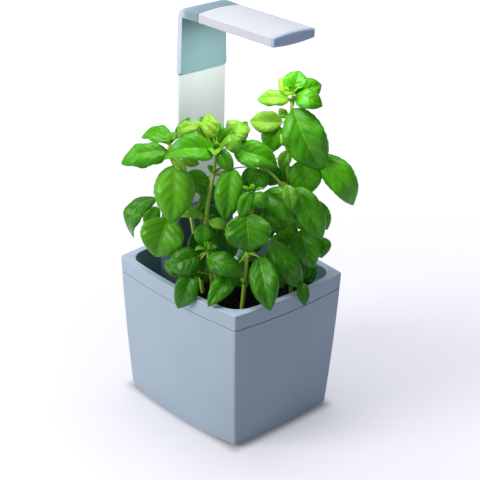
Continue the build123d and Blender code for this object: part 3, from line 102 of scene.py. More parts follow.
skinKinds = {
    # injection moulded ABS, PP, acetal or nylon: fine spark-eroded grain, a faint cloudy flow mark
    "moulded": {"cloud": 60.0, "grain": 0.35, "depth": 0.08, "IOR": 1.49},
    # the same from a polished mould: glossy, as if under varnish
    "polished": {"cloud": 60.0, "grain": 0.35, "depth": 0.08, "IOR": 1.49, "Coat Weight": 0.3},
    # pressed glass cloth and epoxy: the cloth shows as a coarser grain
    "pressed": {"cloud": 60.0, "grain": 0.8, "depth": 0.08, "IOR": 1.49},
    # rolled, drawn or turned metal: fine lines along one axis, a little uneven in gloss
    "metal": {"cloud": 0.8, "grain": 0.8, "depth": 0.15, "Metallic": 1.0},
    # moulded silicone or nitrile rubber: dull, with a dusty bloom in patches
    "rubber": {"cloud": 6.0, "grain": 0.6, "depth": 0.2, "IOR": 1.43},
    # satin powder coat on folded sheet: orange peel of about a millimetre
    "powder": {"cloud": 45.0, "grain": 1.1, "depth": 0.10, "Coat Weight": 0.1},
    # needled cotton felt: matt, with a soft nap
    "felt": {"cloud": 0.5, "grain": 0.5, "depth": 0.9, "Sheen Weight": 0.3},
}
skinForm = {
    "cloudDetail": 3.0, "grainDetail": 2.0, "tintBand": (0.35, 0.65), "glossBand": (0.3, 0.7),
    "glossSpread": 0.04, "relief": 0.05,
}


def skinFinish(kind, name, colour, shade, roughness, stretch=(1.0, 1.0, 1.0)):
    # two close colours in soft clouds, and a grain that shows in the bump; stretch draws both out
    form, shader = skinForm, dict(skinKinds[kind])
    cloud, grain, depth = (shader.pop(key) for key in ("cloud", "grain", "depth"))
    material, tree, place = startMaterial(name)
    drawn = addNode(tree, "Mapping", {"Vector": place, "Scale": stretch})
    clouds, skin = (addNode(tree, "TexNoise", {
        "Vector": drawn, "Scale": 1 / (size * mm), "Detail": detail,
    }) for size, detail in ((cloud, form["cloudDetail"]), (grain, form["grainDetail"])))
    share = addNode(tree, "MapRange", [clouds, *form["tintBand"]])
    spread = form["glossSpread"]
    gloss = addNode(tree, "MapRange", [clouds, *form["glossBand"], roughness - spread, roughness + spread])
    return endMaterial(material, colour, [(share, shade)], gloss, (depth, form["relief"], skin), shader)


# edge is a painted highlight on the folded side edges; joint is a painted shadow at the arm's end, by the head
upperMastPaintAndPaintedLight = {
    "front": "#8EB2B8", "edge": "#CDD4E1", "arm": "#8499A7", "joint": "#4A5A68", "edgeBand": (0.6, 0.25),
    "armBand": (41.5, 32.0), "jointBand": (22.3, 21.7), "levels": (336.0, 390.0), "halfWidths": (29.0, 27.0),
    "peelDetail": 1.0, "gloss": (0.36, 0.44),
}


def foldedMast(name):
    # powder coated sheet: blue green on the broad face and greyer on the arm, with a painted highlight on the
    # folded side edges and a painted shadow in a thin band at the arm's end, where the head meets it
    look, powder = upperMastPaintAndPaintedLight, skinKinds["powder"]
    material, tree, place = startMaterial(name)
    split = addNode(tree, "SeparateXYZ", [place]).node
    levels, halves = ([value * mm for value in look[key]] for key in ("levels", "halfWidths"))
    halfWidth = addNode(tree, "MapRange", [split.outputs[2], *levels, *halves])
    aside = addNode(tree, "Math", [split.outputs[0]], operation="ABSOLUTE")
    inward = addNode(tree, "Math", [halfWidth, aside], operation="SUBTRACT")
    layers = []
    # a painted highlight on the side edges, the arm's greyer paint, and a painted shadow at the arm's end
    for key, value in (("edge", inward), ("arm", split.outputs[1]), ("joint", split.outputs[1])):
        share = addNode(tree, "MapRange", [value, *(level * mm for level in look[key + "Band"])])
        layers.append((share, look[key]))
    peel = addNode(tree, "TexNoise", {
        "Vector": place, "Scale": 1 / (powder["grain"] * mm), "Detail": look["peelDetail"],
    })
    gloss = addNode(tree, "MapRange", [peel, *skinForm["glossBand"], *look["gloss"]])
    bump = (powder["depth"], skinForm["relief"], peel)
    return endMaterial(material, look["front"], layers, gloss, bump, {"Coat Weight": powder["Coat Weight"]})


opalForm = {"pitch": 9.0, "detail": 0.0, "band": (0.3, 0.7), "roughness": 0.4, "ior": 1.49}


def opalAcrylic(name, colour, glow):
    # opal PMMA or silicone lit from behind: milky and satin, whiter in soft spots at the pitch of the lamps
    form = opalForm
    material, tree, place = startMaterial(name)
    spots = addNode(tree, "TexNoise", {
        "Vector": place, "Scale": 1 / (form["pitch"] * mm), "Detail": form["detail"],
    })
    share = addNode(tree, "MapRange", [spots, *form["band"]])
    tint = addNode(tree, "Mix", {0: share, 6: linear(colour), 7: linear("#FFFFFF")}, 2, data_type="RGBA")
    body = addNode(tree, "BsdfPrincipled", {
        "Base Color": tint, "Roughness": form["roughness"], "IOR": form["ior"], "Emission Color": tint,
        "Emission Strength": glow,
    })
    addNode(tree, "OutputMaterial", {"Surface": body})
    return material


# dark is darker than moist peat itself: painted shade under the leaves
peatFinish = {
    "dark": "#060704", "fibre": "#18130C", "crumb": 2.4, "fibreSize": 1.2, "fibreDetail": 5.0,
    "fibreBand": (0.5, 0.8), "bump": (0.9, 1.0), "roughness": 0.92, "specular": 0.12,
}


def pottingMix(name):
    # moist peat and coir: nearly black brown crumbs of a few millimetres, partly their own dark and partly
    # painted shade under the leaves, with some paler fibres
    look = peatFinish
    material, tree, place = startMaterial(name)
    crumbs = addNode(tree, "TexVoronoi", {"Vector": place, "Scale": 1 / (look["crumb"] * mm)})
    fibres = addNode(tree, "TexNoise", {
        "Vector": place, "Scale": 1 / (look["fibreSize"] * mm), "Detail": look["fibreDetail"],
    })
    share = addNode(tree, "MapRange", [fibres, *look["fibreBand"]])
    layers = [(share, look["fibre"])]
    return endMaterial(material, look["dark"], layers, look["roughness"], (*look["bump"], crumbs), {
        "Specular IOR Level": look["specular"],
    })


# low tone and the coolness it brings are painted shade deep inside; pale is partly painted light on the crown
leafMarks = ("tone", "cool", "pale", "span")  # how light, how cool, how pale and how wide a leaf is
# pale is the young blades' own colour and partly painted light on the crown; rim is a painted edge light
leafFinish = {
    "deep": "#0F5200", "fresh": "#4CA602", "pale": "#B0E048", "cool": "#12601C", "vein": "#8CC83A",
    "sidePairs": 5.0, "slant": 0.20, "bend": 0.22, "ribWidth": (0.018, 0.004), "ribEdge": (0.5, 1.5),
    "ribShare": 0.55, "veinEdge": (0.02, 0.09), "veinReach": (0.2, 0.45), "veinShare": 0.26,
    "rim": (0.475, 0.5), "rimShare": 0.4, "patch": 16.0, "patchDetail": 3.0, "patchShare": 0.7,
    "toneBand": (0.25, 1.25), "quilt": 2.6, "quiltDetail": 2.0, "quiltShare": 0.4, "bump": (0.4, 1.0),
    "gloss": (0.27, 0.41), "ior": 1.38, "specular": 0.42, "through": 0.35, "glow": (0.55, 1.0, 0.06),
    "depth": 4.0,
}


def livingLeaf(name):
    # waxy basil blade: a fine pale midrib, side veins that bow to the tip, soft swellings between, and a thin
    # pale rim of painted edge light. The veins follow the same curve as the mesh, whose edge lies at one where
    # the map's lies at a half.
    look = leafFinish
    material, tree, place = startMaterial(name)
    split = addNode(tree, "SeparateXYZ", [place.node.outputs["UV"]]).node
    along = split.outputs[0]
    centred = addNode(tree, "Math", [split.outputs[1], 0.5], operation="SUBTRACT")
    aside = addNode(tree, "Math", [centred], operation="ABSOLUTE")
    ribWidth = addNode(tree, "MapRange", [along, 0.0, 1.0, *look["ribWidth"]])
    ribPlace = addNode(tree, "Math", [aside, ribWidth], operation="DIVIDE")
    rib = addNode(tree, "MapRange", [ribPlace, *look["ribEdge"], look["ribShare"], 0.0])
    bow = addNode(tree, "Math", [aside, 4 * look["bend"], 2 * look["slant"]], operation="MULTIPLY_ADD")
    lean = addNode(tree, "Math", [aside, bow], operation="MULTIPLY")
    level = addNode(tree, "Math", [along, lean], operation="SUBTRACT")
    phase = addNode(tree, "Math", [level, look["sidePairs"]], operation="MULTIPLY")
    swell = addNode(tree, "Math", [phase, 0.5], operation="PINGPONG")
    line = addNode(tree, "MapRange", [swell, *look["veinEdge"], 1.0, 0.0])
    fade = addNode(tree, "MapRange", [aside, *look["veinReach"], look["veinShare"], 0.0])
    sideVein = addNode(tree, "Math", [line, fade], operation="MULTIPLY")
    # a thin pale band at the blade's very edge: painted edge light
    rim = addNode(tree, "MapRange", [aside, *look["rim"], 0.0, look["rimShare"]])
    tone, cool, pale, span = (addNode(tree, "Attribute", attribute_name=key, output="Fac") for key in leafMarks)
    patches, quilt = (addNode(tree, "TexNoise", {
        "Vector": place, "Scale": 1 / (look[key] * mm), "Detail": look[key + "Detail"],
    }) for key in ("patch", "quilt"))
    toneHere = addNode(tree, "Math", [patches, look["patchShare"], tone], operation="MULTIPLY_ADD")
    share = addNode(tree, "MapRange", [toneHere, *look["toneBand"]])
    # the pale layer is partly painted light, and the tone and cool layers carry painted shade deep inside
    layers = [(share, look["fresh"]), (cool, look["cool"]), (pale, look["pale"])]
    layers += [(line, look["vein"]) for line in (sideVein, rib, rim)]
    swellHere = addNode(tree, "Math", [swell, span], operation="MULTIPLY")
    height = addNode(tree, "Math", [quilt, look["quiltShare"], swellHere], operation="MULTIPLY_ADD")
    gloss = addNode(tree, "MapRange", [patches, *skinForm["glossBand"], *look["gloss"]])
    return endMaterial(material, look["deep"], layers, gloss, (*look["bump"], height), {
        "IOR": look["ior"], "Specular IOR Level": look["specular"], "Subsurface Weight": look["through"],
        "Subsurface Radius": look["glow"], "Subsurface Scale": look["depth"] * mm,
    })


stemLook = {
    "green": "#8CBC28", "streak": "#D0EC5C", "size": 1.4, "detail": 3.0, "stretch": (1.0, 1.0, 0.15),
    "bump": (0.25, 0.2), "roughness": 0.42, "through": 0.2, "glow": (0.4, 1.0, 0.1), "depth": 3.0,
}


def juicyStem(name):
    # square green stem: smooth, moist, yellow green with faint long streaks
    look = stemLook
    material, tree, place = startMaterial(name)
    drawn = addNode(tree, "Mapping", {"Vector": place, "Scale": look["stretch"]})
    streaks = addNode(tree, "TexNoise", {
        "Vector": drawn, "Scale": 1 / (look["size"] * mm), "Detail": look["detail"],
    })
    layers = [(streaks, look["streak"])]
    return endMaterial(material, look["green"], layers, look["roughness"], (*look["bump"], streaks), {
        "Subsurface Weight": look["through"], "Subsurface Radius": look["glow"],
        "Subsurface Scale": look["depth"] * mm,
    })


slotFinish = {
    "shell_plastic": skinFinish("moulded", "paleBlueGreyAbs", "#A9BBCB", "#A4B7C8", 0.50),
    "tank_plastic": skinFinish("moulded", "slatePolypropylene", "#8DB1B4", "#86AAAE", 0.5),
    "column_plastic": skinFinish("moulded", "slateBlueAbs", "#4F5F70", "#4A5A6B", 0.48),
    "guide_plastic": skinFinish("moulded", "naturalAcetal", "#D3D6D5", "#CBCFCE", 0.4),
    "mast_metal": foldedMast("blueGreenPowderCoatWithPaintedLight"),
    "pale_metal": skinFinish("powder", "offWhitePowderCoat", "#EFF3F4", "#EAEFF0", 0.40),
    "tongue_steel": skinFinish("metal", "groundSteel", "#B9BBBD", "#9FA2A5", 0.3, (1.0, 1.0, 0.04)),
    "screw_steel": skinFinish("metal", "zincPlatedSteel", "#B5B7B8", "#A3A6A8", 0.35),
    "contact_brass": skinFinish("metal", "sheetBrass", "#D8B568", "#C7A254", 0.28, (1.0, 1.0, 0.08)),
    "lamp_plastic": skinFinish("moulded", "whiteAbs", "#D1D3DA", "#CDCFD7", 0.42),
    "cap_plastic": skinFinish("moulded", "blueGreyAbs", "#BACDE3", "#B3C7DE", 0.45),
    "diffuser_plastic": opalAcrylic("litOpalAcrylic", "#FFFDF4", 1.2),
    "lamp_aluminium": skinFinish("metal", "rolledAluminium", "#D0D2D4", "#BCBEC1", 0.32, (0.05, 1.0, 1.0)),
    "led_phosphor": opalAcrylic("phosphorSilicone", "#F5DE8A", 0.4),
    "button_plastic": skinFinish("polished", "polishedAbs", "#CBD3DB", "#C4CDD6", 0.2),
    "board_laminate": skinFinish("pressed", "glassEpoxyLaminate", "#1C5A33", "#184F2C", 0.35),
    "component_body": skinFinish("moulded", "blackNylon", "#17181A", "#1E2022", 0.45),
    "lead_insulation": skinFinish("rubber", "whiteSiliconeLead", "#D9DADA", "#CFD1D1", 0.75),
    "gasket_rubber": skinFinish("rubber", "blackNitrile", "#26272A", "#303236", 0.75),
    "foot_rubber": skinFinish("rubber", "greySilicone", "#3A3D41", "#45484D", 0.75),
    "pot_plastic": skinFinish("moulded", "blackPolypropylene", "#1B1F22", "#171B1E", 0.5),
    "soil": pottingMix("peatAndCoir"),
    "wick_fabric": skinFinish("felt", "cottonFelt", "#EFEBDD", "#C9C4B4", 0.93),
    "basil_leaf": livingLeaf("basilBlade"),
    "float_plastic": skinFinish("moulded", "foamedPolypropylene", "#E8E8E3", "#DEDED8", 0.6),
    "marker_plastic": skinFinish("polished", "polishedBlueAbs", "#8FA3B9", "#899DB3", 0.2),
}
stemFinish = juicyStem("basilStem")

for row in frame["record"]["subparts"]:
    mesh = frame["nodes"][row["node"]].data
    mesh.materials.clear()
    mesh.materials.append(slotFinish[row["material_slot"]])
print("finishes:", len(slotFinish) + 1)


# Meshes from arrays

edgeForm = {"sharp": 35.0, "segments": 2, "closing": 0.02}


def gridFaces(rows, columns, closeRows, closeColumns):
    # corners of the quads of a grid, numbered row by row, joined up again where it closes
    down = np.arange(rows if closeRows else rows - 1)[:, None]
    over = np.arange(columns if closeColumns else columns - 1)[None, :]
    nextOver = (over + 1) % columns
    here, below = down * columns, (down + 1) % rows * columns
    corners = (here + over, here + nextOver, below + nextOver, below + over)
    return np.stack([np.broadcast_to(c, (down.size, over.size)) for c in corners], -1).reshape(-1, 4)


def joinGrids(grids, closeColumns):  # several grids as one list of points and quads
    points, faces, start = [], [], 0
    for grid in grids:
        rows, columns = grid.shape[:2]
        points.append(grid.reshape(-1, 3))
        faces.append(gridFaces(rows, columns, False, closeColumns) + start)
        start += rows * columns
    return np.concatenate(points), np.concatenate(faces)


def meshPiece(name, points, faces, slot, body, uv=None, marks=None, sharp=edgeForm["sharp"], material=None):
    # one object from a list of points and quads, smooth but for edges past the sharp angle
    mesh = bpy.data.meshes.new(name)
    count = len(faces)
    mesh.vertices.add(len(points))
    mesh.vertices.foreach_set("co", np.asarray(points, np.float32).ravel())
    mesh.loops.add(count * 4)
    mesh.loops.foreach_set("vertex_index", np.asarray(faces, np.int32).ravel())
    mesh.polygons.add(count)
    mesh.polygons.foreach_set("loop_start", np.arange(0, count * 4, 4, dtype=np.int32))
    mesh.update(calc_edges=True)
    mesh.polygons.foreach_set("use_smooth", np.ones(count, bool))
    if uv is not None:
        layer = mesh.uv_layers.new(name="UVMap")
        layer.data.foreach_set("uv", np.asarray(uv, np.float32)[np.asarray(faces).ravel()].ravel())
    for key, values in (marks or {}).items():
        attribute = mesh.attributes.new(key, "FLOAT", "POINT")
        attribute.data.foreach_set("value", np.asarray(values, np.float32))
    mesh.materials.append(material or slotFinish[slot])
    mesh.validate()
    mesh.set_sharp_from_angle(angle=math.radians(sharp))
    piece = bpy.data.objects.new(name, mesh)
    bpy.context.scene.collection.objects.link(piece)
    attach(piece, body)
    return piece


def roundEdges(piece, width):
    bevel = piece.modifiers.new("roundEdges", "BEVEL")
    bevel.width = width
    bevel.segments = edgeForm["segments"]
    bevel.limit_method = "ANGLE"
    bevel.angle_limit = math.radians(edgeForm["sharp"])


# Body: shell and collar

bodyForm = {
    "rimLevel": 148.0, "seamLevel": 132.0, "liftLevel": 3.0, "rimHalf": (70.0, 84.0), "baseHalf": (61.5, 78.0),
    "rimBow": (5.0, 5.6), "baseBow": (3.3, 9.9), "earlyTaper": 0.57, "corner": 1.6, "opening": 15.0,
    "wall": 2.4, "lip": 20.0, "rimWidth": 7.0, "baseEdge": 1.0, "seamGap": 0.35, "rimEdge": 0.5,
    "recess": (4.8, 146.2), "tongue": (2.6, 4.0), "perSide": 40, "perCorner": 9, "levels": 25,
    "collarLevels": 6, "shellRound": 0.3, "collarRound": 0.4,
}


def bodyLoop(level, inset, radius):
    # closed plan at a level: each side is a circle's arc through two corners and the bowed middle, and a
    # rational quadratic curve of weight root one half rounds each corner between the sides' trimmed ends
    form = bodyForm
    down = (form["rimLevel"] - level) / (form["rimLevel"] - form["liftLevel"])
    taper = down * (form["earlyTaper"] + (1 - form["earlyTaper"]) * down)
    halfX, halfY = (a + (b - a) * taper - inset for a, b in zip(form["rimHalf"], form["baseHalf"]))
    bowFront, bowSide = (a + (b - a) * taper for a, b in zip(form["rimBow"], form["baseBow"]))

    def bowed(half, bow, t):
        big = (half ** 2 + bow ** 2) / (2 * bow)
        return np.sqrt(big ** 2 - t ** 2) - (big - bow)

    alongX = np.linspace(-(halfX - radius), halfX - radius, form["perSide"])
    alongY = np.linspace(-(halfY - radius), halfY - radius, form["perSide"])
    rise = bowed(halfX, bowFront, alongX) + halfY
    reach = bowed(halfY, bowSide, alongY) + halfX
    sides = [np.c_[alongX, -rise], np.c_[reach, alongY], np.c_[-alongX, rise], np.c_[-reach, -alongY]]
    corners = [(halfX, -halfY), (halfX, halfY), (-halfX, halfY), (-halfX, -halfY)]
    t = np.linspace(0, 1, form["perCorner"] + 2)[1:-1, None]
    w = math.sqrt(0.5)
    loop = []
    for k, side in enumerate(sides):
        start, middle, end = side[-1], np.array(corners[k]), sides[(k + 1) % 4][0]
        weights = ((1 - t) ** 2, 2 * w * t * (1 - t), t ** 2)
        loop += [side, (weights[0] * start + weights[1] * middle + weights[2] * end) / sum(weights)]
    flat = np.concatenate(loop)
    return np.c_[flat, np.full(len(flat), level)] * mm


def skinOf(rows):  # closed tube of plans, whose last row joins the first
    loops = np.stack([bodyLoop(*row) for row in rows])
    return loops.reshape(-1, 3), gridFaces(len(rows), loops.shape[1], True, True)


def steps(low, high, inset, radius, count):
    return [(level, inset, radius) for level in np.linspace(low, high, count)]


def makeShell():
    form = bodyForm
    lift, seam, corner = form["liftLevel"], form["seamLevel"], form["corner"]
    rows = [(lift, form["baseEdge"], corner)]
    rows += steps(lift + form["baseEdge"], seam - form["seamGap"], 0.0, corner, form["levels"])
    rows += [(seam - form["seamGap"], form["wall"], corner)]
    rows += steps(seam - form["baseEdge"], lift + form["wall"], form["wall"], corner, form["levels"] // 2)
    rows += [(lift + form["wall"], form["lip"], corner), (lift, form["lip"], corner)]
    points, faces = skinOf(rows)
    piece = meshPiece("outerShell", points, faces, "shell_plastic", "planter")
    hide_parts("outer_shell")
    roundEdges(piece, form["shellRound"] * mm)


def makeCollar():  # outside, top, the lip over the tank's edge, the recess behind it and the tongue below
    form = bodyForm
    rim, seam, corner, opening = form["rimLevel"], form["seamLevel"], form["corner"], form["opening"]
    recess, under = form["recess"]
    tongue, depth = form["tongue"]
    rows = steps(seam + form["seamGap"], rim - form["rimEdge"], 0.0, corner, form["collarLevels"])
    rows += [(rim, form["rimEdge"], corner), (rim, form["rimWidth"] - form["rimEdge"], opening)]
    rows += [(rim - form["rimEdge"], form["rimWidth"], opening), (under, form["rimWidth"], opening)]
    rows += [(under, recess, opening), (seam - depth, recess, opening), (seam - depth, tongue, corner)]
    rows += [(seam + form["seamGap"], tongue, corner)]
    points, faces = skinOf(rows)
    piece = meshPiece("rimCollar", points, faces, "shell_plastic", "planter")
    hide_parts("rim_collar")
    roundEdges(piece, form["collarRound"] * mm)


makeShell()
makeCollar()
print("body shell and collar")


# Soil: a lumpy surface in the pot, strewn with crumbs

# calm and fall are powers of the way out: the lumps die down and the edge drops close to the pot's wall
soilForm = {
    "rings": 46, "around": 160, "squareness": 7.0, "bunching": 0.8, "hole": 0.002, "top": 0.4,
    "lumps": ((16.0, 2.4), (6.0, 1.5), (2.5, 0.9)), "span": 140.0, "calm": 8, "edgeDrop": 2.2, "fall": 6,
    "lift": 1.0, "under": 0.9, "crumbs": 520, "crumbSize": (0.7, 2.1), "unequal": (0.7, 1.3),
    "rough": (0.75, 1.25), "crumbRise": 0.3, "crumbRows": 5, "crumbColumns": 6, "pole": 0.05,
    "ringsKept": (3, 4), "sharp": 60.0,
}


def valueNoise(x, y, cell):
    # random heights on a square lattice of the cell size, blended smoothly in between, from -1 to 1
    count = int(soilForm["span"] / cell) + 4
    table = chance.uniform(-1, 1, (count, count))
    i, j = x / cell + count / 2, y / cell + count / 2
    i0, j0 = np.floor(i).astype(int), np.floor(j).astype(int)
    s, t = ((f * f * (3 - 2 * f)) for f in (i - i0, j - j0))
    low = table[i0, j0] * (1 - s) + table[i0 + 1, j0] * s
    high = table[i0, j0 + 1] * (1 - s) + table[i0 + 1, j0 + 1] * s
    return low * (1 - t) + high * t


def makeSoil():
    # rings of a superellipse, whose corners are about as round as the pot's, from the middle out, then down the
    # pot's wall and back under to the middle; the crumbs are small rough balls that sit on the rings
    form = soilForm
    low, high = (np.array(corner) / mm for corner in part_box("potting_soil"))
    middle, half = (low + high)[:2] / 2, (high - low)[:2] / 2
    angle = np.linspace(0, 2 * np.pi, form["around"], endpoint=False)
    ray = np.c_[np.cos(angle), np.sin(angle)]
    power = form["squareness"]
    edge = ray / (np.abs(ray / half) ** power).sum(1, keepdims=True) ** (1 / power)
    share = np.linspace(form["hole"], 1.0, form["rings"]) ** form["bunching"]
    flat = edge[None] * share[:, None, None]
    lumps = sum(depth * valueNoise(flat[..., 0], flat[..., 1], cell) for cell, depth in form["lumps"])
    level = high[2] + form["top"] + lumps * (1 - share[:, None] ** form["calm"])
    upper = np.dstack([middle + flat, level - form["edgeDrop"] * share[:, None] ** form["fall"]])
    floor = np.full(form["around"], low[2] + form["lift"])
    lower = np.stack([np.c_[middle + edge * size, floor] for size in (1.0, form["under"], form["hole"])])
    grid = np.concatenate([upper, lower])
    rows, columns = form["crumbRows"], form["crumbColumns"]
    polar = np.linspace(form["pole"], np.pi - form["pole"], rows)[:, None]
    turn = np.linspace(0, 2 * np.pi, columns, endpoint=False)[None]
    ball = np.broadcast_arrays(np.sin(polar) * np.cos(turn), np.sin(polar) * np.sin(turn), np.cos(polar))
    ball = np.stack(ball, -1)
    first, last = form["ringsKept"]
    crumbs = []
    for _ in range(form["crumbs"]):
        ring, spoke = chance.integers(first, form["rings"] - last), chance.integers(form["around"])
        size = chance.uniform(*form["crumbSize"]) * chance.uniform(*form["unequal"], 3)
        lump = ball * size * chance.uniform(*form["rough"], (rows, columns, 1))
        crumbs.append(upper[ring, spoke] + [0, 0, size[2] * form["crumbRise"]] + lump)
    points, faces = joinGrids(crumbs, True)
    bed = gridFaces(len(grid), form["around"], True, True)
    points = np.concatenate([grid.reshape(-1, 3), points])
    faces = np.concatenate([bed, faces + len(grid) * form["around"]])[:, ::-1]
    piece = meshPiece("soilBed", points * mm, faces, "soil", "grow", sharp=form["sharp"])
    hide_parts("potting_soil")


makeSoil()
print("soil")


# Basil. Places are shares of the plants' reach: across, up and towards the eye from the middle of the soil.

sight = {"reach": 98.0, "distance": 1370.0, "turn": -43.3, "rise": 27.2, "slant": 1.3}
turn, rise, slant = (math.radians(sight[key]) for key in ("turn", "rise", "slant"))
potLow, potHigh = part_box("grow_pot")
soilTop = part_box("potting_soil")[1].z
plantsBox = [np.array(corner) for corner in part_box("basil_plants")]
soilMiddle = np.array([0.0, (potLow.y + potHigh.y) / 2, soilTop])
upright = np.array([0.0, 0.0, 1.0])
levelRight = np.array([math.cos(turn), math.sin(turn), 0.0])
towards = np.array([math.sin(turn), -math.cos(turn), 0.0])
eye = soilMiddle + (towards * math.cos(rise) + upright * math.sin(rise)) * sight["distance"] * mm
sightUp = upright * math.cos(rise) - towards * math.sin(rise)
sightRight = levelRight * math.cos(slant) + sightUp * math.sin(slant)
sightTop = sightUp * math.cos(slant) - levelRight * math.sin(slant)
reach = sight["reach"] * mm

# grid, steps and sides have a value for a full leaf and one for a young one. paler is how pale a pale leaf is
# at its stalk, and how much of that it loses to its tip. cooler is how much cooler a leaf gets, by its tone
# below the second number.
leafForm = {
    "grid": ((30, 17), (13, 9)), "thickness": 0.42, "fullWidth": 36.0, "footEnd": 0.6, "tipEnd": 0.92,
    "narrowest": 0.004, "tooth": 0.018, "teeth": 9, "toothFade": 3.0, "fold": 0.34, "roll": 0.40, "puff": 0.85,
    "puffWidth": 35.0, "puffEdge": 0.8, "wave": 0.15, "waves": 2.4, "waveLag": 1.3, "droopFrom": 0.6,
    "twist": 22.0, "twistFrom": 0.4, "paler": (1.15, 0.5), "cooler": (0.6, 0.25), "coolest": 0.6,
}
handSpans = {
    "fold": (0.4, 1.5), "roll": (0.5, 1.4), "twist": (-1, 1), "sway": (-0.2, 0.2), "droop": (0.1, 1.1),
    "wave": (0.3, 1.2), "phase": (0, 6), "widest": (0.37, 0.47), "point": (1.8, 2.6), "tone": (-0.16, 0.16),
    "cool": (-0.1, 0.1),
}
stalkForm = {
    "radius": 0.95, "thin": 0.28, "fullWidth": 0.2, "sink": 0.30, "lean": (0.45, 0.55), "rise": 0.12,
    "steps": (10, 5), "sides": (8, 5), "ribFrom": 3, "ribTo": 0.8, "ribStep": 4,
}
stemForm = {
    "radius": 1.75, "taper": (1.15, 0.75), "swelling": 0.5, "swellingWidth": 2.2, "foot": (3.0, 5.0),
    "sides": 12, "perSpan": 9, "squareness": 0.10,
}
# a leaf's tone climbs with the height at which its blade starts, between the lowest and the highest; the blades
# deep inside the plants take a very low tone, which is painted shade
toneForm = {"outer": 0.36, "climb": 0.28, "lowest": 0.6, "highest": 1.5, "crown": 0.7, "inner": 0.08}
shootForm = {"width": 0.55, "widths": (0.85, 1.2), "stalk": 0.18, "nod": 0.12, "arch": 0.10}
axilForm = {"length": (0.08, 0.15), "sideways": 0.8, "rise": (0.5, 1.1), "pale": (0, 0.35), "tone": 0.5}
tuftForm = {"climb": 25.0, "shrink": 0.22, "size": (0.85, 1.15), "pale": (0.5, 1.4), "tone": 0.6}

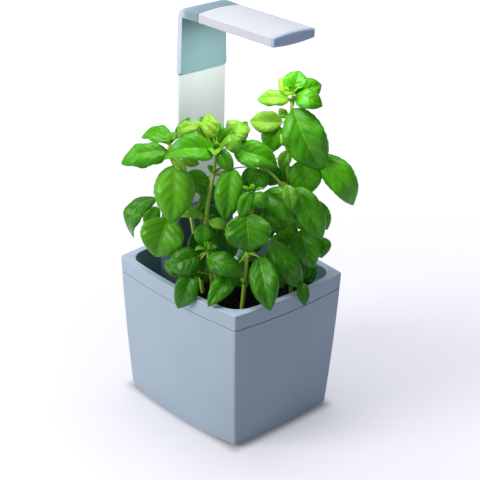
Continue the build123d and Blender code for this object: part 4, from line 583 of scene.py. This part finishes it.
# a plant has its foot (across and towards), its joints, and its leaves: the joint it grows from, where its
# blade starts and ends, its width, how far it faces the eye (share of a right angle) and its arch
plantShares = {
    "left": {
        "foot": (-0.42, 0.00),
        "joints": [(-0.54, 0.83, 0.05), (-0.66, 1.20, 0.08), (-0.73, 1.37, 0.10), (-0.75, 1.49, 0.08)],
        "leaves": [
            (3, (-0.73, 1.53, 0.05), (-1.04, 1.60, -0.12), 0.22, 0.30, 0.05),
            (3, (-0.77, 1.44, 0.12), (-1.24, 1.34, 0.20), 0.26, 0.45, 0.07),
            (2, (-0.70, 1.30, 0.16), (-0.73, 0.72, 0.42), 0.39, 0.80, 0.08,
             {"tone": 0.4, "pale": 0.1, "point": 1.9}),
            (1, (-0.88, 0.97, 0.02), (-1.17, 0.59, 0.12), 0.23, 0.25, 0.20,
             {"droop": 2.0, "point": 1.7, "sway": -0.2}),
            (0, (-0.87, 0.88, -0.12), (-0.98, 0.67, -0.10), 0.16, 0.85, 0.03),
            (1, (-0.56, 1.23, 0.00), (-0.34, 1.03, 0.04), 0.20, 0.75, 0.04),
            (2, (-0.68, 1.57, -0.12), (-0.55, 1.78, -0.20), 0.09, 0.60, 0.05),
        ],
    },
    "middle": {
        "foot": (-0.27, 0.10),
        "joints": [(-0.31, 0.47, 0.12), (-0.38, 0.76, 0.20), (-0.31, 1.20, 0.12), (-0.28, 1.43, 0.08)],
        "leaves": [
            (3, (-0.31, 1.44, 0.12), (-0.80, 1.40, 0.28), 0.29, 0.45, 0.12,
             {"cool": 0.1, "tone": 0.2, "droop": 0.9}),
            (1, (-0.74, 0.77, 0.30), (-0.88, 0.38, 0.48), 0.42, 0.70, 0.05,
             {"cool": 0.25, "tone": 0.3, "pale": 0.06, "point": 2.5}),
            (1, (-0.41, 0.79, 0.22), (-0.64, 0.79, 0.20), 0.11, 0.40, 0.04, {"pale": 0.25}),
            (1, (-0.41, 0.71, 0.27), (-0.42, 0.49, 0.36), 0.18, 0.95, 0.03),
            (1, (-0.35, 0.74, 0.26), (-0.14, 0.67, 0.33), 0.12, 0.45, 0.04, {"pale": 0.25}),
            (2, (-0.38, 1.02, 0.12), (-0.44, 0.85, 0.12), 0.09, 0.85, 0.02),
            (3, (-0.12, 1.27, 0.20), (-0.19, 0.75, 0.38), 0.27, 0.95, 0.06),
            (3, (-0.10, 1.47, 0.02), (0.34, 1.31, 0.12), 0.28, 0.50, 0.07,
             {"cool": 0.12, "tone": 0.1, "fold": 1.5}),
            (3, (-0.31, 1.55, 0.00), (-0.44, 1.79, -0.10), 0.15, 0.75, 0.04),
            (3, (-0.24, 1.52, 0.03), (-0.29, 1.73, -0.04), 0.15, 0.85, 0.03),
            (3, (-0.20, 1.52, 0.02), (-0.10, 1.71, -0.06), 0.14, 0.75, 0.03),
            (3, (-0.17, 1.51, -0.05), (0.03, 1.74, -0.15), 0.19, 0.65, 0.03),
            (0, (-0.36, 0.50, 0.20), (-0.39, 0.11, 0.30), 0.20, 0.90, 0.04),
        ],
    },
    "low_left": {
        "foot": (-0.30, 0.38),
        "joints": [(-0.33, 0.20, 0.42), (-0.36, 0.44, 0.42)],
        "leaves": [
            (1, (-0.45, 0.39, 0.44), (-0.75, 0.27, 0.50), 0.28, 0.60, 0.08),
            (0, (-0.61, 0.23, 0.42), (-0.80, 0.33, 0.38), 0.18, 0.65, 0.03),
            (1, (-0.51, 0.26, 0.48), (-0.66, -0.14, 0.60), 0.23, 0.80, 0.08),
            (1, (-0.37, 0.38, 0.48), (-0.01, 0.20, 0.63), 0.23, 0.60, 0.08),
        ],
    },
    "near": {
        "foot": (-0.02, 0.42),
        "joints": [(0.00, 0.10, 0.44), (0.03, 0.42, 0.42), (0.07, 0.84, 0.36), (0.08, 1.04, 0.32)],
        "leaves": [
            (2, (0.03, 0.82, 0.42), (0.05, 0.43, 0.58), 0.43, 0.85, 0.03,
             {"point": 2.6, "roll": 0.2, "widest": 0.48}),
            (3, (0.07, 1.03, 0.36), (-0.04, 0.77, 0.46), 0.15, 0.85, 0.03),
            (3, (0.10, 1.02, 0.34), (0.19, 0.87, 0.42), 0.16, 0.80, 0.03),
            (1, (0.15, 0.38, 0.50), (0.25, -0.14, 0.86), 0.27, 0.90, 0.07),
            (1, (-0.12, 0.21, 0.50), (-0.36, -0.11, 0.82), 0.20, 0.70, 0.06),
            (1, (0.12, 0.42, 0.34), (-0.07, 0.33, 0.38), 0.13, 0.60, 0.02),
        ],
    },
    "far": {
        "foot": (0.10, -0.12),
        "joints": [(0.14, 0.60, -0.04), (0.38, 1.02, 0.02), (0.21, 1.28, 0.04)],
        "leaves": [
            (0, (-0.22, 0.70, 0.08), (-0.15, 0.40, 0.18), 0.20, 0.90, 0.02),
            (2, (0.20, 1.24, 0.08), (0.06, 1.07, 0.14), 0.22, 0.80, 0.03),
            (1, (0.20, 1.03, 0.18), (0.58, 0.73, 0.32), 0.30, 0.75, 0.06),
            (1, (0.43, 1.10, 0.26), (0.47, 0.86, 0.36), 0.14, 0.90, 0.02, {"pale": 0.2, "cool": 0.3}),
            (0, (0.22, 0.79, 0.14), (0.37, 0.62, 0.20), 0.17, 0.75, 0.03),
            (0, (0.35, 0.77, 0.10), (0.48, 0.48, 0.20), 0.21, 0.80, 0.06),
        ],
    },
    "tall": {
        "foot": (0.30, -0.12),
        "joints": [(0.40, 0.70, -0.12), (0.44, 1.42, -0.18), (0.46, 1.74, -0.22), (0.48, 1.92, -0.22),
                   (0.485, 2.01, -0.22)],
        "leaves": [
            (3, (0.49, 1.87, -0.16), (0.78, 1.25, 0.06), 0.40, 0.85, 0.06,
             {"point": 2.4, "sway": 0.1, "widest": 0.46, "tone": -0.15}),
            (4, (0.50, 2.03, -0.22), (0.77, 2.12, -0.24), 0.24, 0.70, 0.04, {"fold": 0.8}),
            (4, (0.48, 2.03, -0.24), (0.55, 2.25, -0.30), 0.25, 0.70, 0.03, {"fold": 0.7, "roll": 0.6}),
            (4, (0.44, 2.00, -0.24), (0.35, 2.18, -0.30), 0.13, 0.60, 0.03, {"pale": 0.5}),
            (4, (0.51, 1.99, -0.18), (0.78, 1.90, -0.08), 0.20, 0.60, 0.07),
            (3, (0.45, 1.95, -0.22), (0.13, 1.96, -0.26), 0.17, 0.50, 0.03, {"pale": 0.35, "wave": 1.0}),
            (2, (0.33, 1.70, -0.29), (0.26, 1.42, -0.24), 0.24, 0.85, 0.02, {"tone": 0.2}),
            (2, (0.38, 1.73, -0.30), (0.05, 1.75, -0.36), 0.23, 0.55, 0.03, {"pale": 0.5}),
            (2, (0.42, 1.78, -0.27), (0.35, 1.87, -0.30), 0.09, 0.60, 0.02, {"pale": 0.4}),
            (1, (0.59, 1.36, -0.06), (0.63, 1.00, 0.10), 0.32, 0.95, 0.03),
            (1, (0.76, 1.40, -0.16), (1.11, 0.90, -0.02), 0.29, 0.65, 0.10),
        ],
    },
    "right": {
        "foot": (0.46, 0.14),
        "joints": [(0.48, 0.30, 0.18), (0.58, 0.64, 0.14), (0.52, 1.00, 0.10)],
        "leaves": [
            (2, (0.53, 1.08, 0.14), (0.78, 0.55, 0.30), 0.28, 0.75, 0.07),
            (2, (0.68, 0.95, 0.02), (0.83, 0.65, 0.08), 0.20, 0.75, 0.03),
            (1, (0.73, 0.58, 0.14), (0.77, 0.37, 0.22), 0.21, 0.85, 0.04),
            (1, (0.56, 0.65, 0.18), (0.69, 0.27, 0.30), 0.29, 0.80, 0.08),
            (0, (0.27, 0.54, 0.34), (0.56, 0.05, 0.48), 0.24, 0.75, 0.06),
            (0, (0.57, 0.13, 0.45), (0.60, -0.10, 0.56), 0.12, 0.85, 0.02),
            (0, (0.22, 0.37, 0.26), (0.39, 0.07, 0.36), 0.19, 0.80, 0.03),
            (0, (0.61, 0.33, 0.14), (0.60, 0.12, 0.18), 0.10, 0.90, 0.02),
            (0, (0.26, 0.56, 0.22), (0.41, 0.51, 0.22), 0.13, 0.60, 0.02),
        ],
    },
}


# young leaves at the plants' tips, in crossed pairs: plant, pairs, length and paleness
tuftShares = [
    ("left", 3, 0.20, 0.30), ("middle", 3, 0.24, 0.3), ("near", 3, 0.13, 0.15), ("far", 3, 0.16, 0.2),
    ("tall", 3, 0.20, 0.25), ("right", 3, 0.16, 0.1), ("low_left", 3, 0.13, 0.1),
]

# more leaves, written as the table's: pale young ones that curl at the crown, whose paleness is partly painted
# light, and dark ones deep inside, whose dark tone is painted shade
crownShares = {
    "left": [
        (2, (-0.70, 1.36, 0.14), (-0.58, 1.20, 0.22), 0.10, 0.50, 0.03, {"pale": 0.4, "fold": 1.4}),
        (2, (-0.62, 1.38, -0.02), (-0.45, 1.31, -0.04), 0.12, 0.60, 0.03, {"pale": 0.35}),
    ],
    "tall": [
        (1, (0.43, 1.50, -0.14), (0.36, 1.61, -0.16), 0.10, 0.70, 0.03, {"pale": 0.5}),
        (1, (0.44, 1.44, -0.10), (0.35, 1.28, -0.04), 0.13, 0.80, 0.03, {"pale": 0.3}),
        (1, (0.48, 1.54, -0.12), (0.56, 1.40, -0.06), 0.10, 0.80, 0.03, {"pale": 0.4}),
    ],
    "middle": [
        (3, (-0.46, 1.70, 0.02), (-0.68, 1.57, 0.02), 0.14, 0.45, 0.10, {"pale": 0.45, "droop": 1.6}),
        (3, (-0.41, 1.60, 0.02), (-0.50, 1.76, -0.04), 0.08, 0.70, 0.03, {"pale": 0.6}),
        (3, (-0.31, 1.58, 0.04), (-0.37, 1.82, -0.04), 0.17, 0.80, 0.03, {"pale": 0.6, "wave": 1.2}),
        (3, (-0.28, 1.60, 0.06), (-0.44, 1.73, 0.06), 0.12, 0.60, 0.04, {"pale": 0.6}),
        (3, (-0.13, 1.55, 0.00), (0.04, 1.70, -0.08), 0.26, 0.35, 0.06, {"pale": 0.45, "droop": 1.2}),
        (3, (-0.16, 1.60, 0.10), (-0.06, 1.42, 0.18), 0.16, 0.60, 0.03, {"pale": 0.2, "wave": 1.6}),
        (3, (-0.26, 1.46, 0.14), (-0.12, 1.24, 0.22), 0.15, 0.70, 0.04, {"cool": 0.3, "fold": 1.5}),
    ],
}
# dark blades deep inside the plants: their low tone is painted shade
innerShares = {
    "middle": [
        (2, (-0.02, 1.15, -0.05), (0.00, 0.82, 0.00), 0.24, 0.85, 0.03),
        (2, (0.05, 1.28, -0.06), (0.10, 1.04, -0.02), 0.22, 0.80, 0.03),
        (2, (-0.42, 1.12, -0.02), (-0.28, 0.90, 0.00), 0.18, 0.80, 0.03),
        (1, (-0.38, 0.90, -0.02), (-0.30, 0.55, 0.02), 0.22, 0.85, 0.03),
        (0, (-0.24, 0.68, 0.12), (-0.14, 0.34, 0.16), 0.24, 0.85, 0.03),
        (0, (-0.50, 0.62, 0.12), (-0.42, 0.38, 0.18), 0.18, 0.80, 0.03),
    ],
    "tall": [
        (1, (0.18, 1.26, -0.16), (0.36, 1.12, -0.14), 0.20, 0.75, 0.03),
        (1, (0.38, 1.30, -0.20), (0.47, 1.08, -0.16), 0.18, 0.80, 0.03),
        (0, (0.20, 0.90, -0.04), (0.36, 0.62, -0.02), 0.22, 0.80, 0.03),
        (0, (0.02, 0.72, 0.04), (0.12, 0.42, 0.06), 0.26, 0.85, 0.03),
    ],
    "right": [
        (0, (0.24, 0.45, 0.18), (0.36, 0.20, 0.26), 0.24, 0.80, 0.03),
        (0, (0.58, 0.35, 0.06), (0.68, 0.12, 0.12), 0.18, 0.75, 0.03),
    ],
    "near": [
        (0, (-0.10, 0.33, 0.28), (0.02, 0.06, 0.36), 0.22, 0.80, 0.03),
        (2, (0.02, 1.02, 0.10), (0.14, 0.76, 0.14), 0.22, 0.80, 0.03),
        (1, (0.18, 0.80, 0.12), (0.26, 0.56, 0.16), 0.20, 0.80, 0.03),
    ],
}


def unit(v):
    return v / np.linalg.norm(v, axis=-1, keepdims=True)


def plantPoint(across, up, toward):  # the eye's line through a place above the soil, as far as the toward share
    aim = soilMiddle + (sightRight * across + sightTop * up) * reach
    line = aim - eye
    along = (toward * reach - (eye - soilMiddle) @ towards) / (line @ towards)
    return eye + line * along


def leafNormal(chord, facing):  # from straight up at facing 0 to the eye at 1, and square to the blade
    angle = facing * math.pi / 2
    face = upright * math.cos(angle) + towards * math.sin(angle)
    return unit(face - chord * (face @ chord) / (chord @ chord))


def drawHand(change):  # what differs from leaf to leaf, and what a table row sets
    hand = {key: chance.uniform(*span) for key, span in handSpans.items()}
    return {**hand, "pale": 0.0, **change}


def leafGrid(base, tip, normal, width, arch, hand, rows, columns):
    # u runs from stalk to tip and v from edge to edge. The half width is a rounded wedge's up to the widest
    # place and a softened wedge's beyond, with small teeth. The height is the arch, plus a fold up beside the
    # sunk midrib, less a roll down at the edge, plus edge waves and a swelling between each pair of side veins,
    # less a droop past the leaf's middle.
    form, look = leafForm, leafFinish
    u = np.linspace(0, 1, rows)[:, None]
    v = np.linspace(-1, 1, columns)[None, :]
    out = np.abs(v)
    bow = 4 * u * (1 - u)
    chord = tip - base
    length = np.linalg.norm(chord)
    before = np.clip((hand["widest"] - u) / hand["widest"], 0, 1)
    beyond = np.clip((u - hand["widest"]) / (1 - hand["widest"]), 0, 1)
    half = (1 - before ** 2) ** form["footEnd"] * (1 - beyond ** hand["point"]) ** form["tipEnd"]
    teeth = np.sin(2 * np.pi * form["teeth"] * u + hand["phase"]) * np.clip(form["toothFade"] * (1 - u), 0, 1)
    half = np.maximum(half * (1 + form["tooth"] * teeth), form["narrowest"]) * width / 2
    phase = look["sidePairs"] * (u - look["slant"] * out - look["bend"] * v ** 2)
    swelling = np.abs(np.sin(np.pi * phase)) * np.sin(np.pi * out) ** form["puffEdge"] * np.sin(np.pi * u)
    ripple = np.sin(2 * np.pi * form["waves"] * u + hand["phase"] + form["waveLag"] * np.sign(v)) * out ** 3
    cross = form["fold"] * hand["fold"] * out - form["roll"] * hand["roll"] * v ** 4
    height = arch * bow + half * (cross + form["wave"] * hand["wave"] * ripple)
    height = height + form["puff"] * width / form["puffWidth"] * swelling
    height = height - hand["droop"] * length * np.clip(u - form["droopFrom"], 0, 1) ** 2
    angle = math.radians(form["twist"]) * hand["twist"] * (u - form["twistFrom"])
    side = np.cross(unit(chord), normal)
    across = side * np.cos(angle)[..., None] + normal * np.sin(angle)[..., None]
    upward = normal * np.cos(angle)[..., None] - side * np.sin(angle)[..., None]
    sway = side * (hand["sway"] * width * bow)[..., None] / 2
    points = base + chord * u[..., None] + sway + across * (half * v)[..., None] + upward * height[..., None]
    uv = np.stack(np.broadcast_arrays(u, (v + 1) / 2), -1)
    return points, uv


def closedTube(path, radii, sides, squareness=0.0):
    # rings square to the path: each ring point is the path's point plus its radius along two side directions,
    # and a four-fold wave makes the section a rounded square. The end rings shrink to almost nothing.
    path, closing = np.concatenate([path[:1], path, path[-1:]]), edgeForm["closing"]
    path[0] += (path[1] - path[2]) * closing
    path[-1] += (path[-2] - path[-3]) * closing
    radii = np.concatenate([radii[:1] * closing, radii, radii[-1:] * closing])
    ahead = unit(np.gradient(path, axis=0))
    guide = np.where(np.abs(ahead @ towards)[:, None] > 0.9, levelRight, towards)
    one = unit(np.cross(ahead, guide))
    two = np.cross(ahead, one)
    angle = np.linspace(0, 2 * np.pi, sides, endpoint=False)[None, :, None]
    ring = radii[:, None, None] * (1 + squareness * np.cos(4 * angle))
    return path[:, None] + ring * (np.cos(angle) * one[:, None] + np.sin(angle) * two[:, None])


def smoothPath(corners, perSpan):
    # Catmull-Rom curve through the corners: each span blends its two ends and the slopes beside them
    p = np.concatenate([2 * corners[:1] - corners[1:2], corners, 2 * corners[-1:] - corners[-2:-1]])
    t = np.linspace(0, 1, perSpan, endpoint=False)[None, :, None]
    a, b, c, d = (p[k:len(p) - 3 + k, None] for k in range(4))
    curve = 2 * b + (c - a) * t + (2 * a - 5 * b + 4 * c - d) * t ** 2 + (3 * b - a - 3 * c + d) * t ** 3
    return np.concatenate([curve.reshape(-1, 3) / 2, corners[-1:]])


def intoBox(points):
    # slides a blade along the eye's line, as far as it stands out of the plants' box at a side
    low, high = plantsBox
    skin = leafForm["thickness"] * mm
    line = unit(points.mean((0, 1)) - eye)
    under = np.clip(low + skin - points.min((0, 1)), 0, None) / line
    over = np.clip(points.max((0, 1)) - high + skin, 0, None) / line
    return points + line * (under[:2].max() - over[:2].max())


def growLeaf(store, tubes, leave, base, tip, normal, width, arch, hand, tone, small):
    # one blade into the store, with a stalk that bows from its joint and runs on as the rib under the blade
    form, stalk = leafForm, stalkForm
    kind = int(small)
    rows, columns = form["grid"][kind]
    points, uv = leafGrid(base, tip, normal, width, arch, hand, rows, columns)
    points = intoBox(points)
    store["grids"].append(points)
    store["uv"].append(uv.reshape(-1, 2))
    nearStalk, fall = form["paler"]
    share, below = form["cooler"]
    marks = {
        "tone": np.clip(tone + hand["tone"], 0.0, 1.0),
        "cool": np.clip(hand["cool"] + share * (below - tone), 0.0, form["coolest"]),
        "pale": np.clip(hand["pale"] * (nearStalk - fall * uv[..., 0].ravel()), 0.0, 1.0),
        "span": min(1.0, width / (form["fullWidth"] * mm)),
    }
    for key, value in marks.items():
        store[key].append(np.broadcast_to(value, rows * columns))
    rib = points[:, columns // 2] - normal * stalk["sink"] * mm
    (fromStem, fromLeaf), rise = stalk["lean"], stalk["rise"]
    lean = leave * fromStem + base * fromLeaf + upright * rise * np.linalg.norm(base - leave)
    t = np.linspace(0, 1, stalk["steps"][kind])[:, None]
    curve = leave * (1 - t) ** 2 + 2 * lean * t * (1 - t) + rib[0] * t ** 2
    path = np.concatenate([curve, rib[stalk["ribFrom"]:int(rows * stalk["ribTo"]):stalk["ribStep"]]])
    radius = stalk["radius"] * mm * min(1.0, width / (stalk["fullWidth"] * reach))
    thin = np.linspace(1.0, stalk["thin"], len(path)) * radius
    tubes.append(closedTube(path, thin, stalk["sides"][kind]))


def placedLeaf(store, tubes, joints, row, tone):
    joint, start, end, width, facing, arch, *change = row
    base, tip = plantPoint(*start), plantPoint(*end)
    normal = leafNormal(tip - base, facing)
    hand = drawHand(change[0] if change else {})
    growLeaf(store, tubes, joints[joint], base, tip, normal, width * reach, arch * reach, hand, tone, False)


def shoot(store, tubes, leave, direction, length, pale, tone):
    # a small young leaf that leaves its joint in one direction and nods over outwards
    form = shootForm
    base = leave + direction * length * form["stalk"]
    tip = leave + direction * length - upright * length * form["nod"]
    aside = unit(np.cross(direction, upright) + 1e-6)  # never nothing, even where the leaf points straight up
    normal = unit(np.cross(aside, tip - base))
    normal = normal * np.sign(normal @ upright)
    hand = drawHand({"pale": pale, "twist": 0.0})
    width = length * form["width"] * chance.uniform(*form["widths"])
    growLeaf(store, tubes, leave, base, tip, normal, width, length * form["arch"], hand, tone, True)


def levelWay(turn):  # a level direction, turned from the eye's right
    return levelRight * math.cos(turn) + towards * math.sin(turn)


def leafPiece(name, store):
    points, faces = joinGrids(store["grids"], False)
    marks = {key: np.concatenate(store[key]) for key in leafMarks}
    uv = np.concatenate(store["uv"])
    piece = meshPiece(name, points, faces, "basil_leaf", "grow", uv, marks, sharp=180.0)
    skin = piece.modifiers.new("bladeThickness", "SOLIDIFY")
    skin.thickness = leafForm["thickness"] * mm
    skin.offset = 0.0
    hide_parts("basil_plants")


def makeBasil():
    stem, axil, tuft, tones = stemForm, axilForm, tuftForm, toneForm
    broad, young = ({key: [] for key in ("grids", "uv", *leafMarks)} for _ in range(2))
    tubes, jointPlaces = [], {}
    for name, plant in plantShares.items():
        across, toward = plant["foot"]
        foot = soilMiddle + (levelRight * across + towards * toward) * reach
        joints = np.array([plantPoint(*place) for place in plant["joints"]])
        jointPlaces[name] = joints
        below, above = (depth * mm for depth in stem["foot"])
        corners = np.concatenate([[foot - upright * below, foot + upright * above], joints])
        path = smoothPath(corners, stem["perSpan"])
        apart = np.linalg.norm(path[:, None] - joints[None], axis=-1).min(1) / (stem["swellingWidth"] * mm)
        taper = stem["radius"] * np.linspace(*stem["taper"], len(path))
        radii = (taper + stem["swelling"] * np.exp(-apart ** 2)) * mm
        tubes.append(closedTube(path, radii, stem["sides"], stem["squareness"]))
        for row in plant["leaves"]:
            climb = min(row[1][1], tones["highest"]) - tones["lowest"]
            placedLeaf(broad, tubes, joints, row, tones["outer"] + tones["climb"] * climb)
    for table, tone in ((crownShares, tones["crown"]), (innerShares, tones["inner"])):
        for name, rows in table.items():
            for row in rows:
                placedLeaf(broad, tubes, jointPlaces[name], row, tone)
    for joints in jointPlaces.values():
        for joint in joints[:-1]:
            turned = chance.uniform(0, np.pi)
            for side in (0, np.pi):
                rise = chance.uniform(*axil["rise"])
                direction = unit(levelWay(turned + side) * axil["sideways"] + upright * rise)
                length = chance.uniform(*axil["length"]) * reach
                shoot(young, tubes, joint, direction, length, chance.uniform(*axil["pale"]), axil["tone"])
    for name, pairs, length, pale in tuftShares:
        turned = chance.uniform(0, np.pi)
        for k in range(pairs):
            climb = math.radians(tuft["climb"] * (k + 1))
            for side in (0, np.pi):
                turn = turned + k * np.pi / 2 + side
                direction = levelWay(turn) * math.cos(climb) + upright * math.sin(climb)
                size = length * reach * (1 - tuft["shrink"] * k) * chance.uniform(*tuft["size"])
                paleHere = pale * chance.uniform(*tuft["pale"])
                shoot(young, tubes, jointPlaces[name][-1], direction, size, paleHere, tuft["tone"])
    leafPiece("basilLeaves", broad)
    leafPiece("basilShoots", young)
    points, faces = joinGrids(tubes, True)
    meshPiece("basilStems", points, faces, "basil_leaf", "grow", sharp=180.0, material=stemFinish)


makeBasil()
print("basil")


# Folded lead in the column: a ribbon in bellows folds, built at one length, though the real one closes up as
# the mast comes down

leadForm = {"thickness": 0.6, "folds": 3, "along": 73, "travel": 45.0}


def makeLead():
    # a flat ribbon between the plug and the shoe, which sways front to back as a cosine of its height
    form = leadForm
    low, high = (np.array(corner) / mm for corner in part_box("folded_lead"))
    middle, half = (low + high) / 2, (high - low) / 2
    stretch = high[2] - low[2]
    share = np.linspace(0, 1, form["along"])
    sway = (half[1] - form["thickness"]) * np.cos(2 * np.pi * form["folds"] * share)
    path = np.c_[np.zeros_like(share), middle[1] - sway, low[2] + stretch * share]
    flat = np.array([half[0], 0, 0])
    skin = np.cross(unit(np.gradient(path, axis=0)), flat / half[0]) * form["thickness"] / 2
    section = np.stack([path - flat - skin, path + flat - skin, path + flat + skin, path - flat + skin], 1)
    ends = path[[0, -1], None] + (section[[0, -1]] - path[[0, -1], None]) * edgeForm["closing"]
    grid = np.concatenate([ends[:1], section, ends[1:]])
    faces = gridFaces(len(grid), 4, False, True)
    piece = meshPiece("foldedLead", grid.reshape(-1, 3) * mm, faces, "lead_insulation", "planter")
    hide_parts("folded_lead")
    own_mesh(piece)


makeLead()
print("folded lead")


# Floor, world, lights and camera

floorForm = {
    "half": 1.6, "paper": "#BCBBC0", "lift": "#F7F7FF", "near": (0.15, 0.41), "far": (1.6, 1.08),
    "paintedContactShadow": (-0.001, 0.012), "paintedContactShadowShare": 0.25,
}
roomForm = {"walls": "#D3DDF2", "strength": 0.33}


def makeFloor():
    # seamless paper, lifted to white for the eye alone; the lift is cut back in a thin ring round the body's
    # footprint, a painted shadow where the body meets the paper, over the real shadow that the paper keeps
    form, half = floorForm, floorForm["half"]
    mesh = bpy.data.meshes.new("floor")
    corners = [(-half, -half, 0), (half, -half, 0), (half, half, 0), (-half, half, 0)]
    mesh.from_pydata(corners, [], [(0, 1, 2, 3)])
    material, tree, place = startMaterial("greyPaperSweep")
    path = addNode(tree, "LightPath").node
    seen = addNode(tree, "Math", [path.outputs["Is Camera Ray"], path.outputs["Is Glossy Ray"]],
                   operation="ADD", use_clamp=True)
    away = addNode(tree, "VectorMath", [place], 1, operation="LENGTH")
    (nearBy, low), (farOff, high) = form["near"], form["far"]
    lifted = addNode(tree, "MapRange", [away, nearBy, farOff, low, high])
    # a painted shadow where the body meets the paper: the lift drops within 12 mm outside the footprint
    body = (*(size * mm for size in bodyForm["baseHalf"]), 0)
    folded = addNode(tree, "VectorMath", [place], operation="ABSOLUTE")
    beyond = addNode(tree, "VectorMath", [folded, body], operation="SUBTRACT")
    outside = addNode(tree, "VectorMath", [beyond, (0, 0, 0)], operation="MAXIMUM")
    gap = addNode(tree, "VectorMath", [outside], 1, operation="LENGTH")
    clear = addNode(tree, "MapRange", [gap, *form["paintedContactShadow"], form["paintedContactShadowShare"], 1.0],
                    interpolation_type="SMOOTHSTEP")
    for share in (clear, seen):
        lifted = addNode(tree, "Math", [lifted, share], operation="MULTIPLY")
    matt = addNode(tree, "BsdfDiffuse", {"Color": linear(form["paper"])})
    glow = addNode(tree, "Emission", {"Color": linear(form["lift"]), "Strength": lifted})
    both = addNode(tree, "AddShader", [matt, glow])
    addNode(tree, "OutputMaterial", {"Surface": both})
    mesh.materials.append(material)
    floor = bpy.data.objects.new("floor", mesh)
    bpy.context.scene.collection.objects.link(floor)


def makeWorld():  # a pale room for the light, and white for the eye and for what shows through
    world = bpy.data.worlds.new("softRoom")
    bpy.context.scene.world = world
    world.use_nodes = True
    tree = world.node_tree
    tree.nodes.clear()
    path = addNode(tree, "LightPath").node
    seen = addNode(tree, "Math", [path.outputs["Is Camera Ray"], path.outputs["Is Transmission Ray"]],
                   operation="ADD", use_clamp=True)
    room = addNode(tree, "Background", {"Color": linear(roomForm["walls"]), "Strength": roomForm["strength"]})
    white = addNode(tree, "Background", {"Color": linear("#FFFFFF"), "Strength": 1.0})
    both = addNode(tree, "MixShader", [seen, room, white])
    addNode(tree, "OutputWorld", {"Surface": both})


lights = {  # place, what it is aimed at, width, watts and colour
    "windowLeft": ((-1.3, 0.45, 1.0), (0, 0, 0.15), 0.9, 20.0, "#FFFBF4"),
    "overhead": ((0.1, 0.2, 1.5), (0, 0, 0.2), 1.0, 13.0, "#FFFFFC"),
    "growLight": ((0.0, -0.033, 0.386), (0.0, -0.033, 0.0), 0.06, 0.12, "#FBFFF6"),
}


def addLight(name, place, aim, size, power, colour):
    light = bpy.data.lights.new(name, "AREA")
    light.shape = "DISK"
    light.size = size
    light.energy = power
    light.color = linear(colour)[:3]
    lamp = bpy.data.objects.new(name, light)
    lamp.location = place
    lamp.rotation_euler = (Vector(aim) - Vector(place)).to_track_quat("-Z", "Y").to_euler()
    bpy.context.scene.collection.objects.link(lamp)


cameraForm = {"turn": -43.09, "rise": 24.98, "roll": 1.27, "lens": 105.0, "sensor": 36.0, "clip": 0.05,
              "target": (-41.7, -57.8, 207.1), "distance": 1282.0}


def makeCamera():
    form = cameraForm
    turn, rise, roll = (math.radians(form[key]) for key in ("turn", "rise", "roll"))
    forward = Vector((-math.sin(turn) * math.cos(rise), math.cos(turn) * math.cos(rise), -math.sin(rise)))
    right = Vector((math.cos(turn), math.sin(turn), 0))
    up = right.cross(forward)
    right, up = right * math.cos(roll) + up * math.sin(roll), up * math.cos(roll) - right * math.sin(roll)
    place = Vector(form["target"]) * mm - forward * form["distance"] * mm
    data = bpy.data.cameras.new("camera")
    data.lens = form["lens"]
    data.sensor_width = form["sensor"]
    data.clip_start = form["clip"]
    camera = bpy.data.objects.new("camera", data)
    camera.matrix_world = Matrix.Translation(place) @ Matrix((right, up, -forward)).transposed().to_4x4()
    bpy.context.scene.collection.objects.link(camera)
    bpy.context.scene.camera = camera


makeFloor()
makeWorld()
for name, row in lights.items():
    addLight(name, *row)
makeCamera()
bpy.context.scene.view_settings.view_transform = "Standard"
print("stage, lights and camera")
